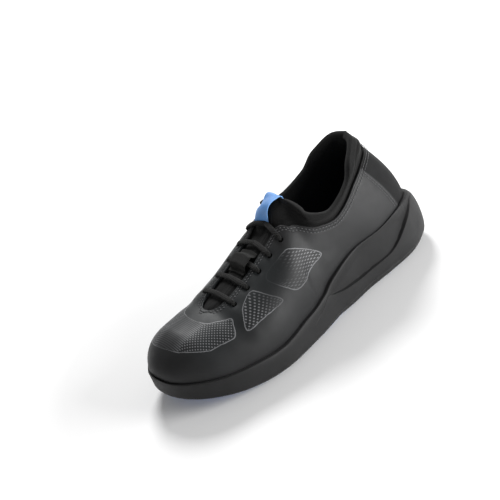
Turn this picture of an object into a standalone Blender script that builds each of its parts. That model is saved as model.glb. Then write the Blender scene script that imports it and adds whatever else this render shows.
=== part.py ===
"""Low-cut safety sneaker, left foot: smooth black upper over a black foam sole with a blue gripping outsole.

Metres, +Z up. The toe points to -Y and the outer (lateral) side is +X. The origin is on the floor, under the
middle of the shoe. Every piece is worked out from one last: a loop of columns that rise from the upper's foot
line to its top line. Lateral and medial columns are paired across the shoe.
"""

import math
from collections import namedtuple

import bmesh
import bpy
import numpy as np
from mathutils import Matrix, Vector

# Main sizes of the last and the sole
LAST_LENGTH = 0.2886
BALL_WIDTH = 0.100
INSTEP_HEIGHT = 0.1075
SOLE_RIM_HEIGHT = 0.050
HEEL_BED_HEIGHT = 0.024
BALL_BED_HEIGHT = 0.015
TOE_SPRING = 0.013
HEEL_BEVEL = 0.003
WAIST_RISE = 0.0012
FLAT_LIMIT = 0.00001
SOLE_FLARE = 0.012
SOLE_TUCK = 0.010
SOLE_LEDGE = 0.0035
RIM_LIP = 0.0014

# Walls and clearances
UPPER_WALL = 0.0020
SEAM_STEP = 0.0010
LINING_WALL = 0.0032
COLLAR_PAD = 0.0065
COLLAR_BULGE = 0.0042
TONGUE_BULGE = 0.0012
BULGE_RUN = 0.0080
CREST_RISE = 0.35
TONGUE_HEM = 0.002
PIECE_GAP = 0.0003
LAYER_GAP = 0.0005
INSOLE_THICKNESS = 0.0040
INSOLE_ROUND = 0.0010

# Outsole
OUTSOLE_THICKNESS = 0.0045
LUG_DEPTH = 0.0020
LONG_GROOVE_DEPTH = 0.00203
SOLE_BORDER_RISE = 0.0018
SOLE_BORDER_WIDTH = 0.0045
LUG_PITCH = 0.0140
GROOVE_WIDTH = 0.0012
SMOOTH_BAND_WIDTH = 0.0065
NOTCH_INNER_X = -0.0065
ARCH_PLATE_LENGTH = 0.085
ARCH_PLATE_WIDTH = 0.022
ARCH_PLATE_MARGIN = 0.0035
ARCH_PLATE_CORNER = 0.004
TOE_GROOVES = 5
HEEL_GROOVES = 20
LATERAL_GROOVES = 5
MEDIAL_GROOVES = 4

# How far cutters run past the sole: sideways, below it, upward, and down for the recesses in the foam
CUT_REACH = 0.08
CUT_MARGIN = 0.01
CUT_HEIGHT = 0.05
RECESS_DEPTH = 0.02

# Throat, laces and tab
LACE_WIDTH = 0.0056
LACE_THICKNESS = 0.0026
EYELET_RADIUS = 0.0023
EYELET_AWAY = 0.0225
EYELET_SPREAD = 0.0035
LACE_ROWS = 5
KEEPER_WIDTH = 0.021
KEEPER_LENGTH = 0.020
TAB_WIDTH = 0.0187
RIBBON_THICKNESS = 0.0012
RIBBON_STEPS = 4
LACE_STEPS = 10
TAB_REACH = 0.0135
TAB_CLEAR = 0.0022
TAB_ROWS = (0.0, 0.15, 0.3, 0.45, 0.6, 0.75, 0.9)
FOLD_LEAN = 0.4
FOLD_TUCK = 0.001

# Shares of LAST_LENGTH from the heel's end (0) to the toe's end (1)
HEEL_FLAT_START = 0.12
FOREFOOT_FLAT_END = 0.70
BED_HEEL_END = 0.30
BED_BALL_START = 0.66
NOTCH_SPAN = (0.275, 0.630)
TOE_BAND_AT = 0.815
WAIST_SPAN = (0.36, 0.62)
GROOVE_SPAN = (-0.04, 1.055)
LACE_SPAN = (0.723, 0.501)
TOE_CURVE = 1.8
# The bow's curve along a column, t(1-t)^2, peaks at 4/27
BOW_PEAK = 27 / 4
# The vamp's fall beyond the toe's pole: its slope, how softly it sets in, and the arc of the throat's end
TOE_POLE_SLOPE = 0.42
TOE_POLE_ROUND = 0.012
THROAT_END_POWER = 3.0

# The keeper's arch over its lace: place along it (-1 to 1), lift (0 on the tongue, 1 over the lace)
KEEPER_PROFILE = [(-1.0, 0.0), (-0.72, 0.0), (-0.42, 1.0), (0.42, 1.0), (0.72, 0.0), (1.0, 0.0)]

Section = namedtuple(
    "Section", "name steps along lateral medial centre top_along top_height top_half dome square bow drop"
)
# steps: columns up to the next row. along, top_along: shares of LAST_LENGTH. lateral, medial, centre,
# top_half, bow and drop (how far the upper's edge lies below the top line): shares of BALL_WIDTH. top_height: share of
# INSTEP_HEIGHT.
# dome: 1 where the wall arches over to the ridge, 0 where it stands. square: the arch's fullness.
SECTIONS = [
    Section("heel", 2, 0.042, 0.000, 0.000, 0.00, 0.145, 1.100, 0.000, 0.0, 2.00, 0.066, 0.160),
    Section("heel_turn", 2, 0.062, 0.178, 0.193, 0.00, 0.163, 1.092, 0.119, 0.0, 2.00, 0.046, 0.163),
    Section("counter", 3, 0.125, 0.319, 0.305, 0.00, 0.221, 1.002, 0.238, 0.0, 2.00, 0.038, 0.125),
    Section("ankle", 2, 0.235, 0.370, 0.330, 0.00, 0.268, 0.879, 0.301, 0.0, 2.00, 0.033, 0.066),
    Section("collar", 2, 0.335, 0.367, 0.327, 0.00, 0.364, 0.790, 0.347, 0.1, 2.00, 0.021, 0.080),
    Section("saddle", 2, 0.420, 0.397, 0.336, 0.00, 0.436, 0.885, 0.292, 0.3, 2.00, 0.017, 0.154),
    Section("tongue_side", 2, 0.475, 0.420, 0.370, 0.00, 0.440, 0.968, 0.115, 0.6, 1.75, 0.019, 0.233),
    Section("tongue", 1, 0.500, 0.444, 0.389, 0.00, 0.443, 0.985, 0.000, 0.85, 1.72, 0.021, 0.276),
    Section("tongue_rise", 1, 0.520, 0.459, 0.403, 0.00, 0.4835, 0.935, 0.000, 0.95, 1.92, 0.020, 0.197),
    Section("throat", 2, 0.540, 0.473, 0.417, 0.00, 0.502, 0.835, 0.000, 1.0, 2.58, 0.019, 0.141),
    Section("instep", 3, 0.590, 0.492, 0.444, 0.00, 0.567, 0.741, 0.000, 1.0, 2.66, 0.016, 0.126),
    Section("ball", 3, 0.690, 0.525, 0.466, 0.00, 0.685, 0.614, 0.000, 1.0, 2.55, 0.011, 0.128),
    Section("vamp", 2, 0.785, 0.498, 0.480, 0.00, 0.779, 0.548, 0.000, 1.0, 2.34, 0.015, 0.000),
    Section("toe_root", 2, 0.870, 0.419, 0.439, -0.01, 0.878, 0.534, 0.000, 1.0, 2.19, 0.020, 0.000),
    Section("toe_side", 2, 0.935, 0.280, 0.345, -0.01, 0.878, 0.534, 0.000, 1.0, 2.24, 0.022, 0.000),
    Section("toe_turn", 2, 0.968, 0.132, 0.200, -0.01, 0.878, 0.534, 0.000, 1.0, 2.31, 0.029, 0.000),
    Section("toe", 0, 0.978, -0.109, 0.109, -0.01, 0.878, 0.534, 0.000, 1.0, 2.30, 0.034, 0.000),
]

SoleRow = namedtuple("SoleRow", "name rim flare tuck crown step ledge")
# rim: share of SOLE_RIM_HEIGHT. flare, tuck, ledge: shares of SOLE_FLARE, SOLE_TUCK and SOLE_LEDGE. crown:
# how boxy the shoulder under the rim is. step: the ledge's height, as a share of the rim's.
SOLE_ROWS = [
    SoleRow("heel", 0.86, 0.94, 1.00, 2.1, 0.98, 0.0),
    SoleRow("heel_turn", 0.97, 1.02, 0.95, 2.1, 1.00, 0.3),
    SoleRow("counter", 1.02, 0.74, 0.80, 2.2, 0.77, 0.9),
    SoleRow("ankle", 0.94, 0.55, 0.65, 2.4, 0.43, 1.0),
    SoleRow("collar", 0.92, 0.58, 0.55, 2.8, 0.41, 1.0),
    SoleRow("saddle", 0.82, 0.58, 0.50, 3.2, 0.52, 0.7),
    SoleRow("tongue_side", 0.71, 0.53, 0.50, 3.5, 0.73, 0.4),
    SoleRow("tongue", 0.65, 0.47, 0.50, 3.6, 0.89, 0.2),
    SoleRow("tongue_rise", 0.62, 0.445, 0.50, 3.7, 0.82, 0.15),
    SoleRow("throat", 0.59, 0.42, 0.50, 3.8, 0.75, 0.1),
    SoleRow("instep", 0.54, 0.41, 0.50, 4.0, 0.59, 0.0),
    SoleRow("ball", 0.45, 0.41, 0.50, 4.0, 0.50, 0.0),
    SoleRow("vamp", 0.48, 0.40, 0.55, 4.0, 0.50, 0.0),
    SoleRow("toe_root", 0.52, 0.35, 0.70, 4.0, 0.50, 0.0),
    SoleRow("toe_side", 0.57, 0.30, 0.85, 4.0, 0.50, 0.0),
    SoleRow("toe_turn", 0.60, 0.28, 0.90, 4.0, 0.50, 0.0),
    SoleRow("toe", 0.66, 0.28, 0.90, 4.0, 0.50, 0.0),
]

HALF = len(SECTIONS) - 1

# The sole's side, upward. EDGE_ROWS: share of the rim's height, share of the tuck. SHOULDER_ROWS: shares of a
# quarter turn from the widest line to the rim, from the widest line up.
EDGE_ROWS = [(0.0, 1.0), (0.05, 0.55), (0.13, 0.28), (0.15, 0.16), (0.27, 0.02)]
SHOULDER_ROWS = (0.86, 0.70, 0.52, 0.34, 0.16)
WIDEST_SHARE = 0.34
LEDGE_LIMITS = (0.31, 0.93)
LEDGE_SLOPE = 0.02
LEDGE_FADE = 0.25
LEDGE_SHARE = 0.8
CUP_ROWS = 2
WALL_ROWS = 6
COLLAR_ROWS = 3


def monotone(knots, values, at):
    """Cubic through the values that never overshoots them, so a flat run stays flat."""
    step = np.diff(knots)
    rise = np.diff(values) / step
    slope = np.zeros(len(values))
    for k in range(1, len(values) - 1):
        if rise[k - 1] * rise[k] > 0:
            a, b = 2 * step[k] + step[k - 1], step[k] + 2 * step[k - 1]
            slope[k] = (a + b) / (a / rise[k - 1] + b / rise[k])
    slope[0], slope[-1] = rise[0], rise[-1]
    k = np.clip(np.searchsorted(knots, at, side="right") - 1, 0, len(step) - 1)
    t, h = (at - knots[k]) / step[k], step[k]
    return (
        (1 + 2 * t) * (1 - t) ** 2 * values[k]
        + t * (1 - t) ** 2 * h * slope[k]
        + t * t * (3 - 2 * t) * values[k + 1]
        + t * t * (t - 1) * h * slope[k + 1]
    )


def around(values):
    """A row's values for the lateral side from heel to toe, then for the medial side back to the heel."""
    lateral, medial = values
    return np.array(list(lateral) + list(medial[-2:0:-1]), float)


def both(name, table=SECTIONS):
    column = [getattr(row, name) for row in table]
    return around((column, column))


def along_to_y(along):
    return LAST_LENGTH * (0.5 - along)


def y_to_along(y):
    return 0.5 - y / LAST_LENGTH


def sole_rise(y):
    """How far the sole's underside lifts off the floor: toe spring, heel bevel and a shallow waist."""
    along = y_to_along(np.asarray(y, float))
    toe = np.clip((along - FOREFOOT_FLAT_END) / (1 - FOREFOOT_FLAT_END), 0, None)
    heel = np.clip((HEEL_FLAT_START - along) / HEEL_FLAT_START, 0, None)
    waist = np.clip((along - WAIST_SPAN[0]) / (WAIST_SPAN[1] - WAIST_SPAN[0]), 0, 1)
    return TOE_SPRING * toe**TOE_CURVE + HEEL_BEVEL * heel**2 + WAIST_RISE * np.sin(math.pi * waist) ** 2


def bed_height(y):
    """The footbed's height: thick under the heel, thinner from the ball forward."""
    along = y_to_along(np.asarray(y, float))
    t = np.clip((along - BED_HEEL_END) / (BED_BALL_START - BED_HEEL_END), 0, 1)
    t = t * t * (3 - 2 * t)
    return sole_rise(y) + HEEL_BED_HEIGHT * (1 - t) + BALL_BED_HEIGHT * t


class Last:
    """The last as a loop of columns. Each column is a curve from the foot line to the top line, read at a share
    of its length, and every layer of the shoe is the last offset along its normals."""

    SAMPLES = 96
    FINE = 64
    NORMAL_ROUNDS = 2

    def __init__(self, density=1, seam_gap=0.0008):
        foot_x = around(([r.lateral for r in SECTIONS], [-r.medial for r in SECTIONS])) * BALL_WIDTH
        foot_x[HALF] = SECTIONS[HALF].lateral * BALL_WIDTH
        foot_y = along_to_y(both("along"))
        chord = np.hypot(np.diff(np.append(foot_x, foot_x[0])), np.diff(np.append(foot_y, foot_y[0])))
        self.stations = np.concatenate([[0], np.cumsum(chord)])
        self.period = self.stations[-1]
        self.at, self.labels = self.spread(density, seam_gap)
        self.count = len(self.at)
        self.toe = self.labels["toe"]
        self.x, self.y = self.read(foot_x), self.read(foot_y)
        self.fit_columns()

    def spread(self, density, seam_gap):
        """Column places: the rows' own, and evenly between. Close behind the seam stands a second one."""
        at, labels = [], {}
        for k, row in enumerate(SECTIONS[:-1]):
            labels[row.name] = len(at)
            start, end = self.stations[k], self.stations[k + 1]
            at += [start + (end - start) * i / (row.steps * density) for i in range(row.steps * density)]
            if row.name == "counter":
                at.insert(labels["counter"], start - seam_gap)
                labels["counter"] += 1
        labels["toe"] = len(at)
        lateral = at + [self.stations[HALF]]
        medial = []
        for k in range(HALF, 2 * HALF):
            row = SECTIONS[2 * HALF - k - 1]
            start, end = self.stations[k], self.stations[k + 1]
            if row.name == "counter":
                seam = end
            medial += [start + (end - start) * i / (row.steps * density) for i in range(row.steps * density)]
        medial = sorted(medial[1:] + [seam + seam_gap])
        return np.array(lateral + medial), labels

    def read(self, values, curve=None):
        """A row value at every column, on a curve that closes on itself."""
        pad = 4
        before, after = self.stations[-1 - pad : -1] - self.period, self.stations[:pad] + self.period
        knots = np.concatenate([before, self.stations[:-1], after])
        tall = np.concatenate([values[-pad:], values, values[:pad]])
        if curve == "monotone":
            return monotone(knots, tall, self.at)
        return self.spline(knots, tall)

    def spline(self, knots, values):
        """Smooth cubic through the values: a Catmull-Rom curve on uneven knots."""
        slope = np.zeros(len(values))
        step = np.diff(knots)
        rise = np.diff(values) / step
        slope[1:-1] = (rise[:-1] * step[1:] + rise[1:] * step[:-1]) / (step[1:] + step[:-1])
        k = np.clip(np.searchsorted(knots, self.at, side="right") - 1, 0, len(step) - 1)
        t, h = (self.at - knots[k]) / step[k], step[k]
        return (
            (1 + 2 * t) * (1 - t) ** 2 * values[k]
            + t * (1 - t) ** 2 * h * slope[k]
            + t * t * (3 - 2 * t) * values[k + 1]
            + t * t * (t - 1) * h * slope[k + 1]
        )

    def evened(self, values):
        """A row value at every column, the same on both columns of a pair."""
        read = self.read(values, "monotone")
        return (read + read[self.pair]) / 2

    def fit_columns(self):
        self.pair = np.array([(self.count - i) % self.count for i in range(self.count)])
        next_x, next_y = np.roll(self.x, -1), np.roll(self.y, -1)
        last_x, last_y = np.roll(self.x, 1), np.roll(self.y, 1)
        run = np.hypot(next_x - last_x, next_y - last_y)
        # The loop runs heel, lateral side, toe, medial side, so outward is to the left of its travel.
        self.out = np.stack([-(next_y - last_y) / run, (next_x - last_x) / run, np.zeros(self.count)], -1)
        foot = np.stack([self.x, self.y, bed_height(self.y) + PIECE_GAP], -1)
        side = np.where(np.arange(self.count) <= self.toe, 1.0, -1.0)
        half = self.read(both("top_half"), "monotone") * BALL_WIDTH
        top_x = side * half + self.evened(both("centre")) * BALL_WIDTH
        top_y = along_to_y(self.evened(both("top_along")))
        top_z = self.evened(both("top_height")) * INSTEP_HEIGHT
        top = np.stack([top_x, top_y, top_z], -1)
        dome = self.read(both("dome"), "monotone")[:, None]
        square = self.read(both("square"), "monotone")[:, None]
        bow = self.read(both("bow"))[:, None] * BALL_WIDTH
        self.drop = self.read(both("drop"), "monotone") * BALL_WIDTH
        self.round_throat_end()
        t = np.linspace(0, 1, self.FINE + 1)[None, :]
        angle = t * math.pi / 2
        across = dome * (1 - np.cos(angle).clip(0) ** (2 / square)) + (1 - dome) * t**2
        up = dome * np.sin(angle) ** (2 / square) + (1 - dome) * t
        path = np.zeros((self.count, self.FINE + 1, 3))
        for axis in (0, 1):
            path[:, :, axis] = foot[:, None, axis] + (top - foot)[:, None, axis] * across
        path += self.out[:, None, :] * (bow * BOW_PEAK * t * (1 - t) ** 2)[:, :, None]
        pole_y = along_to_y(SECTIONS[-1].top_along)
        beyond = np.clip(pole_y - path[:, :, 1], 0, None)
        ahead = TOE_POLE_SLOPE * (np.hypot(beyond, TOE_POLE_ROUND) - TOE_POLE_ROUND)
        low = foot[:, None, 2] + ahead[:, :1]
        path[:, :, 2] = low + (top[:, None, 2] - low) * up - ahead
        self.grid = np.array([self.even(p) for p in path])
        self.length = np.array([np.linalg.norm(np.diff(p, axis=0), axis=1).sum() for p in self.grid])
        self.normals = self.find_normals()

    def round_throat_end(self):
        """From the ball to the vamp row the throat's half width falls to nothing on a round arc."""
        start, end = self.labels["ball"], self.labels["vamp"]
        for i in range(start, end + 1):
            t = (self.at[i] - self.at[start]) / (self.at[end] - self.at[start])
            self.drop[i] = self.drop[start] * math.sqrt(1 - t**THROAT_END_POWER)
            self.drop[self.pair[i]] = self.drop[i]

    def even(self, path):
        """The curve's points spaced evenly along it."""
        run = np.concatenate([[0], np.cumsum(np.linalg.norm(np.diff(path, axis=0), axis=1))])
        at = np.linspace(0, run[-1], self.SAMPLES + 1)
        return np.stack([np.interp(at, run, path[:, axis]) for axis in range(3)], -1)

    def find_normals(self):
        g = self.grid
        along_loop = np.roll(g, -1, axis=0) - np.roll(g, 1, axis=0)
        up_column = np.gradient(g, axis=1)
        normal = np.cross(up_column, along_loop)
        length = np.linalg.norm(normal, axis=2, keepdims=True)
        normal = normal / np.maximum(length, 1e-12)
        for _ in range(self.NORMAL_ROUNDS):
            normal = np.roll(normal, 1, axis=0) + 2 * normal + np.roll(normal, -1, axis=0)
            normal /= np.linalg.norm(normal, axis=2, keepdims=True)
        root = self.labels["toe_root"]
        root_tall = normal[root, -3] + normal[self.pair[root], -3]
        for i in range(self.labels["tongue"], self.toe + 1):
            j = self.pair[i]
            tall = root_tall.copy() if i > root else normal[i, -3] + normal[j, -3]
            tall[0] = 0
            normal[i, -1] = normal[j, -1] = tall / np.linalg.norm(tall)
            for back in (2, 3):
                for c in (i, j):
                    mixed = normal[c, -1] * (3 - (back - 1)) / 3 + normal[c, -4] * (back - 1) / 3
                    normal[c, -back] = mixed / np.linalg.norm(mixed)
        return normal

    def point(self, i, share, offset=0.0):
        """A point of column i, a share of its length above the foot line, pushed out along the normal."""
        at = np.clip(share, 0, 1) * self.SAMPLES
        low = int(min(math.floor(at), self.SAMPLES - 1))
        f = at - low
        place = self.grid[i, low] * (1 - f) + self.grid[i, low + 1] * f
        normal = self.normals[i, low] * (1 - f) + self.normals[i, low + 1] * f
        return place + offset * normal / np.linalg.norm(normal)

    def share_at_height(self, i, height):
        z = self.grid[i, :, 2]
        above = np.nonzero(z >= height)[0]
        if not len(above):
            return 1.0
        k = above[0]
        if k == 0:
            return 0.0
        return (k - 1 + (height - z[k - 1]) / (z[k] - z[k - 1])) / self.SAMPLES

    def share_below_top(self, i, distance):
        return 1 - distance / self.length[i]

    def edge_share(self, i):
        """Where the upper's throat or collar edge crosses column i."""
        return self.share_below_top(i, self.drop[i])

    def ridge(self, y, offset=0.0):
        """The point on the centre ridge at this y, with its normal."""
        columns = range(self.labels["tongue"], self.labels["toe_root"] + 1)
        line = np.array([self.grid[i, -1] for i in columns])
        normal = np.array([self.normals[i, -1] for i in columns])
        order = np.argsort(line[:, 1])
        place = np.array([np.interp(y, line[order, 1], line[order, axis]) for axis in range(3)])
        tall = np.array([np.interp(y, line[order, 1], normal[order, axis]) for axis in range(3)])
        return place + offset * tall, tall


def clear_scene():
    for old in list(bpy.data.objects):
        bpy.data.objects.remove(old)


def collection(name):
    made = bpy.data.collections.new(name)
    bpy.context.scene.collection.children.link(made)
    return made


def material(name, colour, roughness, metallic=0.0):
    made = bpy.data.materials.new(name)
    made.use_nodes = True
    shader = made.node_tree.nodes["Principled BSDF"]
    shader.inputs["Base Color"].default_value = (*colour, 1)
    shader.inputs["Roughness"].default_value = roughness
    shader.inputs["Metallic"].default_value = metallic
    return made


def add_object(name, mesh, group, finish=None):
    made = bpy.data.objects.new(name, mesh)
    group.objects.link(made)
    if finish:
        mesh.materials.append(finish)
        mesh.shade_smooth()
        mesh.set_sharp_from_angle(angle=math.radians(38))
    return made


def add_cutter(name, mesh, group):
    made = add_object(name, mesh, group)
    made.hide_render = True
    made.display_type = "WIRE"
    return made


def finish_mesh(name, bm):
    """Welds what meets, drops what carries no face, and turns every face outward."""
    bmesh.ops.remove_doubles(bm, verts=bm.verts, dist=2e-6)
    bmesh.ops.dissolve_degenerate(bm, edges=bm.edges, dist=1e-6)
    bmesh.ops.delete(bm, geom=[v for v in bm.verts if not v.link_faces], context="VERTS")
    bmesh.ops.recalc_face_normals(bm, faces=bm.faces)
    mesh = bpy.data.meshes.new(name)
    bm.to_mesh(mesh)
    bm.free()
    return mesh


def add_face(bm, corners):
    kept = [v for k, v in enumerate(corners) if v not in corners[:k]]
    if len(kept) > 2:
        bm.faces.new(kept)


def band(bm, first, second, split=False):
    """Faces between two closed rings of as many vertices. Where the rings face the upper, running downward,
    the faces are split as the upper's are."""
    count = len(first)
    for k in range(count):
        n = (k + 1) % count
        corners = (first[k], first[n], second[n], second[k])
        if split:
            split_quad(bm, corners, n < k)
        else:
            add_face(bm, corners)


def split_quad(bm, corners, first):
    """Two triangles for a quad. Faces that lie against each other are split along the same diagonal."""
    a, b, c, d = corners
    halves = ((a, b, c), (a, c, d)) if first else ((a, b, d), (b, c, d))
    for half in halves:
        if len(set(half)) == 3:
            bm.faces.new(half)


def ladder(bm, last, ring):
    """Fills a ring with rungs that run straight across the shoe between paired columns."""
    for i in range(last.toe):
        add_face(bm, [ring[i], ring[i + 1], ring[last.pair[i + 1]], ring[last.pair[i]]])


def vertices(bm, points):
    return [bm.verts.new(p) for p in points]


def applied(obj, group, finish=None):
    """The object with its modifiers made real, in place of the old one."""
    graph = bpy.context.evaluated_depsgraph_get()
    mesh = bpy.data.meshes.new_from_object(obj.evaluated_get(graph))
    name = obj.name
    bpy.data.objects.remove(obj)
    mesh.name = name
    return add_object(name, mesh, group, finish)


def boolean(obj, other, operation="DIFFERENCE", self_crossing=False):
    modifier = obj.modifiers.new(operation.lower(), "BOOLEAN")
    modifier.operation = operation
    modifier.solver = "EXACT"
    modifier.use_self = self_crossing
    modifier.object = other


def rim_height(last):
    return last.read(both("rim", SOLE_ROWS)) * SOLE_RIM_HEIGHT


def sole_outline(last, inset=0.0):
    """The sole's widest outline, drawn in by its tuck and a further inset: the bottom edge or within it."""
    flare = last.read(both("flare", SOLE_ROWS)) * SOLE_FLARE
    tuck = last.read(both("tuck", SOLE_ROWS)) * SOLE_TUCK
    foot = np.stack([last.x, last.y, np.zeros(last.count)], -1)
    return foot + last.out * (flare - tuck - inset)[:, None]


def seam_step(last, i):
    """How far the heel panel lies below the quarter that overlaps it."""
    return SEAM_STEP if min(i, int(last.pair[i])) < last.labels["counter"] else 0.0


def cup_shares(last, i, rim):
    """Shares of column i from the foot line up to the midsole's rim."""
    top = last.share_at_height(i, rim[i])
    return [top * k / CUP_ROWS for k in range(CUP_ROWS + 1)]


def sole_side(rim_point, wide_point, out, bottom, tall, crown, step, ledge, tuck):
    """One column of the sole's side, upward: edge, widest line, shoulder, and the ledge cut into it."""

    def place(height, reach, pull):
        x, y = rim_point[:2] * (1 - reach) + wide_point[:2] * reach - out[:2] * pull
        return [x, y, bottom + tall * height]

    column = [place(height, 1.0, tuck * share) for height, share in EDGE_ROWS]
    angles = [share * math.pi / 2 for share in SHOULDER_ROWS]
    heights = [WIDEST_SHARE + (1 - WIDEST_SHARE) * math.cos(angle) ** (2 / crown) for angle in angles]
    reaches = [math.sin(angle) ** (2 / crown) for angle in angles]
    ledge_height = min(max(step, LEDGE_LIMITS[0]), LEDGE_LIMITS[1])
    ledge_reach = float(np.interp(ledge_height, [WIDEST_SHARE] + heights + [1.0], [1.0] + reaches + [0.0]))
    room = np.linalg.norm(wide_point[:2] - rim_point[:2])
    rows = [(ledge_height, ledge_reach, 0.0)]
    rows.append((ledge_height + LEDGE_SLOPE, ledge_reach, min(ledge, ledge_reach * room * LEDGE_SHARE)))
    for height, reach in zip(heights, reaches):
        depth = min(ledge * (1.0 - height) / LEDGE_FADE, ledge, reach * room * LEDGE_SHARE)
        rows.append((height, reach, depth if height > ledge_height else 0.0))
    return column + [place(*row) for row in sorted(rows)]


def sole_rings(last):
    """The midsole's rings, from its bottom edge up the side, over the rim and down inside to the footbed."""
    rim = rim_height(last)
    flare = last.read(both("flare", SOLE_ROWS)) * SOLE_FLARE
    tuck = last.read(both("tuck", SOLE_ROWS)) * SOLE_TUCK
    crown = last.read(both("crown", SOLE_ROWS), "monotone")
    step = last.read(both("step", SOLE_ROWS), "monotone")
    ledge = last.read(both("ledge", SOLE_ROWS), "monotone") * SOLE_LEDGE
    bottom = sole_rise(last.y) + SOLE_BORDER_RISE
    columns = []
    for i in range(last.count):
        wide = np.array([last.x[i], last.y[i], 0]) + last.out[i] * flare[i]
        shares = cup_shares(last, i, rim)
        clear = PIECE_GAP - seam_step(last, i)
        inside = [last.point(i, share, clear) for share in shares]
        lip = last.point(i, shares[-1], clear + RIM_LIP)
        column = sole_side(
            lip, wide, last.out[i], bottom[i], rim[i] - bottom[i], crown[i], step[i], ledge[i], tuck[i]
        )
        column.append([lip[0], lip[1], rim[i]])
        inside[0][2] = bed_height(last.y[i])
        columns.append(column + inside[::-1])
    return [list(ring) for ring in zip(*columns)]


def make_midsole(last, group, cutters, finish):
    bm = bmesh.new()
    rings = [vertices(bm, ring) for ring in sole_rings(last)]
    cup = len(rings) - 1 - CUP_ROWS
    for k in range(len(rings) - 1):
        band(bm, rings[k], rings[k + 1], split=k >= cup)
    ladder(bm, last, rings[0])
    ladder(bm, last, rings[-1])
    sole = add_object("midsole", finish_mesh("midsole", bm), group, finish)
    recess = add_cutter("outsole_recess", outsole_blank(last, PIECE_GAP, RECESS_DEPTH), cutters)
    boolean(sole, recess)
    plate = add_cutter("plate_recess", plate_blank(PIECE_GAP, RECESS_DEPTH), cutters)
    boolean(sole, plate)
    return applied(sole, group, finish)


def prism(points, low, high):
    bm = bmesh.new()
    face = bm.faces.new([bm.verts.new((x, y, low)) for x, y in points])
    up = bmesh.ops.extrude_face_region(bm, geom=[face])["geom"]
    upper = [g for g in up if isinstance(g, bmesh.types.BMVert)]
    bmesh.ops.translate(bm, verts=upper, vec=(0, 0, high - low))
    bmesh.ops.recalc_face_normals(bm, faces=bm.faces)
    return bm


def box(bm, low, high):
    size = Vector(high) - Vector(low)
    centre = (Vector(high) + Vector(low)) / 2
    matrix = Matrix.Translation(centre) @ Matrix.Diagonal((*size, 1))
    bmesh.ops.create_cube(bm, size=1, matrix=matrix)


def notch_box(grow):
    """Low and high corner of the outsole's arch notch in plan. It runs out past the medial edge."""
    heel_y, toe_y = along_to_y(NOTCH_SPAN[0]), along_to_y(NOTCH_SPAN[1])
    return (-CUT_REACH, toe_y - grow), (NOTCH_INNER_X + grow, heel_y + grow)


def groove_lines():
    """The tread's grooves: y of those across and x of those along, counted from the smooth bands."""
    toe_band = along_to_y(TOE_BAND_AT)
    across = [toe_band + SMOOTH_BAND_WIDTH / 2 + LUG_PITCH * k for k in range(-TOE_GROOVES, HEEL_GROOVES)]
    along = [NOTCH_INNER_X + LUG_PITCH * k for k in range(LATERAL_GROOVES)]
    along += [NOTCH_INNER_X - SMOOTH_BAND_WIDTH - LUG_PITCH * k for k in range(MEDIAL_GROOVES)]
    return across, along


def bend(bm):
    """Splits the flat shape across wherever the sole curves, then lifts it to that curve."""
    for y in groove_lines()[0]:
        if sole_rise(y) < FLAT_LIMIT:
            continue
        geometry = list(bm.verts) + list(bm.edges) + list(bm.faces)
        bmesh.ops.bisect_plane(bm, geom=geometry, dist=1e-6, plane_co=(0, y, 0), plane_no=(0, 1, 0))
    for v in bm.verts:
        v.co.z += float(sole_rise(v.co.y))


def outsole_blank(last, grow, depth):
    """The outsole without its grooves, grown by a clearance and carried down to a depth below the floor."""
    outline = sole_outline(last, SOLE_BORDER_WIDTH - grow)[:, :2]
    bm = prism(outline, -depth, OUTSOLE_THICKNESS + grow)
    low, high = notch_box(-grow)
    cutter_bm = bmesh.new()
    box(cutter_bm, (*low, -depth - CUT_MARGIN), (*high, CUT_HEIGHT))
    return cut_flat(bm, cutter_bm, "outsole_blank")


def cut_flat(bm, cutter_bm, name):
    mesh = bpy.data.meshes.new(name)
    bm.to_mesh(mesh)
    bm.free()
    cutter_mesh = bpy.data.meshes.new(name + "_cut")
    cutter_bm.to_mesh(cutter_mesh)
    cutter_bm.free()
    body = bpy.data.objects.new(name, mesh)
    cutter = bpy.data.objects.new(name + "_cut", cutter_mesh)
    for o in (body, cutter):
        bpy.context.scene.collection.objects.link(o)
    boolean(body, cutter, self_crossing=True)
    graph = bpy.context.evaluated_depsgraph_get()
    cut = bpy.data.meshes.new_from_object(body.evaluated_get(graph))
    for o in (body, cutter):
        bpy.data.objects.remove(o)
    bm = bmesh.new()
    bm.from_mesh(cut)
    bend(bm)
    return finish_mesh(name, bm)


def make_outsole(last, group, finish):
    outline = sole_outline(last, SOLE_BORDER_WIDTH)[:, :2]
    bm = prism(outline, 0.0, OUTSOLE_THICKNESS)
    cutter = bmesh.new()
    low, high = notch_box(0.0)
    box(cutter, (*low, -CUT_MARGIN), (*high, CUT_HEIGHT))
    across, along = groove_lines()
    half = GROOVE_WIDTH / 2
    band_low, band_high = NOTCH_INNER_X - SMOOTH_BAND_WIDTH, NOTCH_INNER_X
    heel_y, toe_y = (along_to_y(along_share) for along_share in GROOVE_SPAN)
    for y in across:
        box(cutter, (band_high + half, y - half, -CUT_MARGIN), (CUT_REACH, y + half, LUG_DEPTH))
        box(cutter, (-CUT_REACH, y - half, -CUT_MARGIN), (band_low - half, y + half, LUG_DEPTH))
    toe_band = along_to_y(TOE_BAND_AT)
    toe_side, heel_side = toe_band - SMOOTH_BAND_WIDTH / 2, toe_band + SMOOTH_BAND_WIDTH / 2
    for x in along:
        box(cutter, (x - half, toe_y, -CUT_MARGIN), (x + half, toe_side + half, LONG_GROOVE_DEPTH))
        box(cutter, (x - half, heel_side - half, -CUT_MARGIN), (x + half, heel_y, LONG_GROOVE_DEPTH))
    mesh = cut_flat(bm, cutter, "outsole")
    return add_object("outsole", mesh, group, finish)


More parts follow.
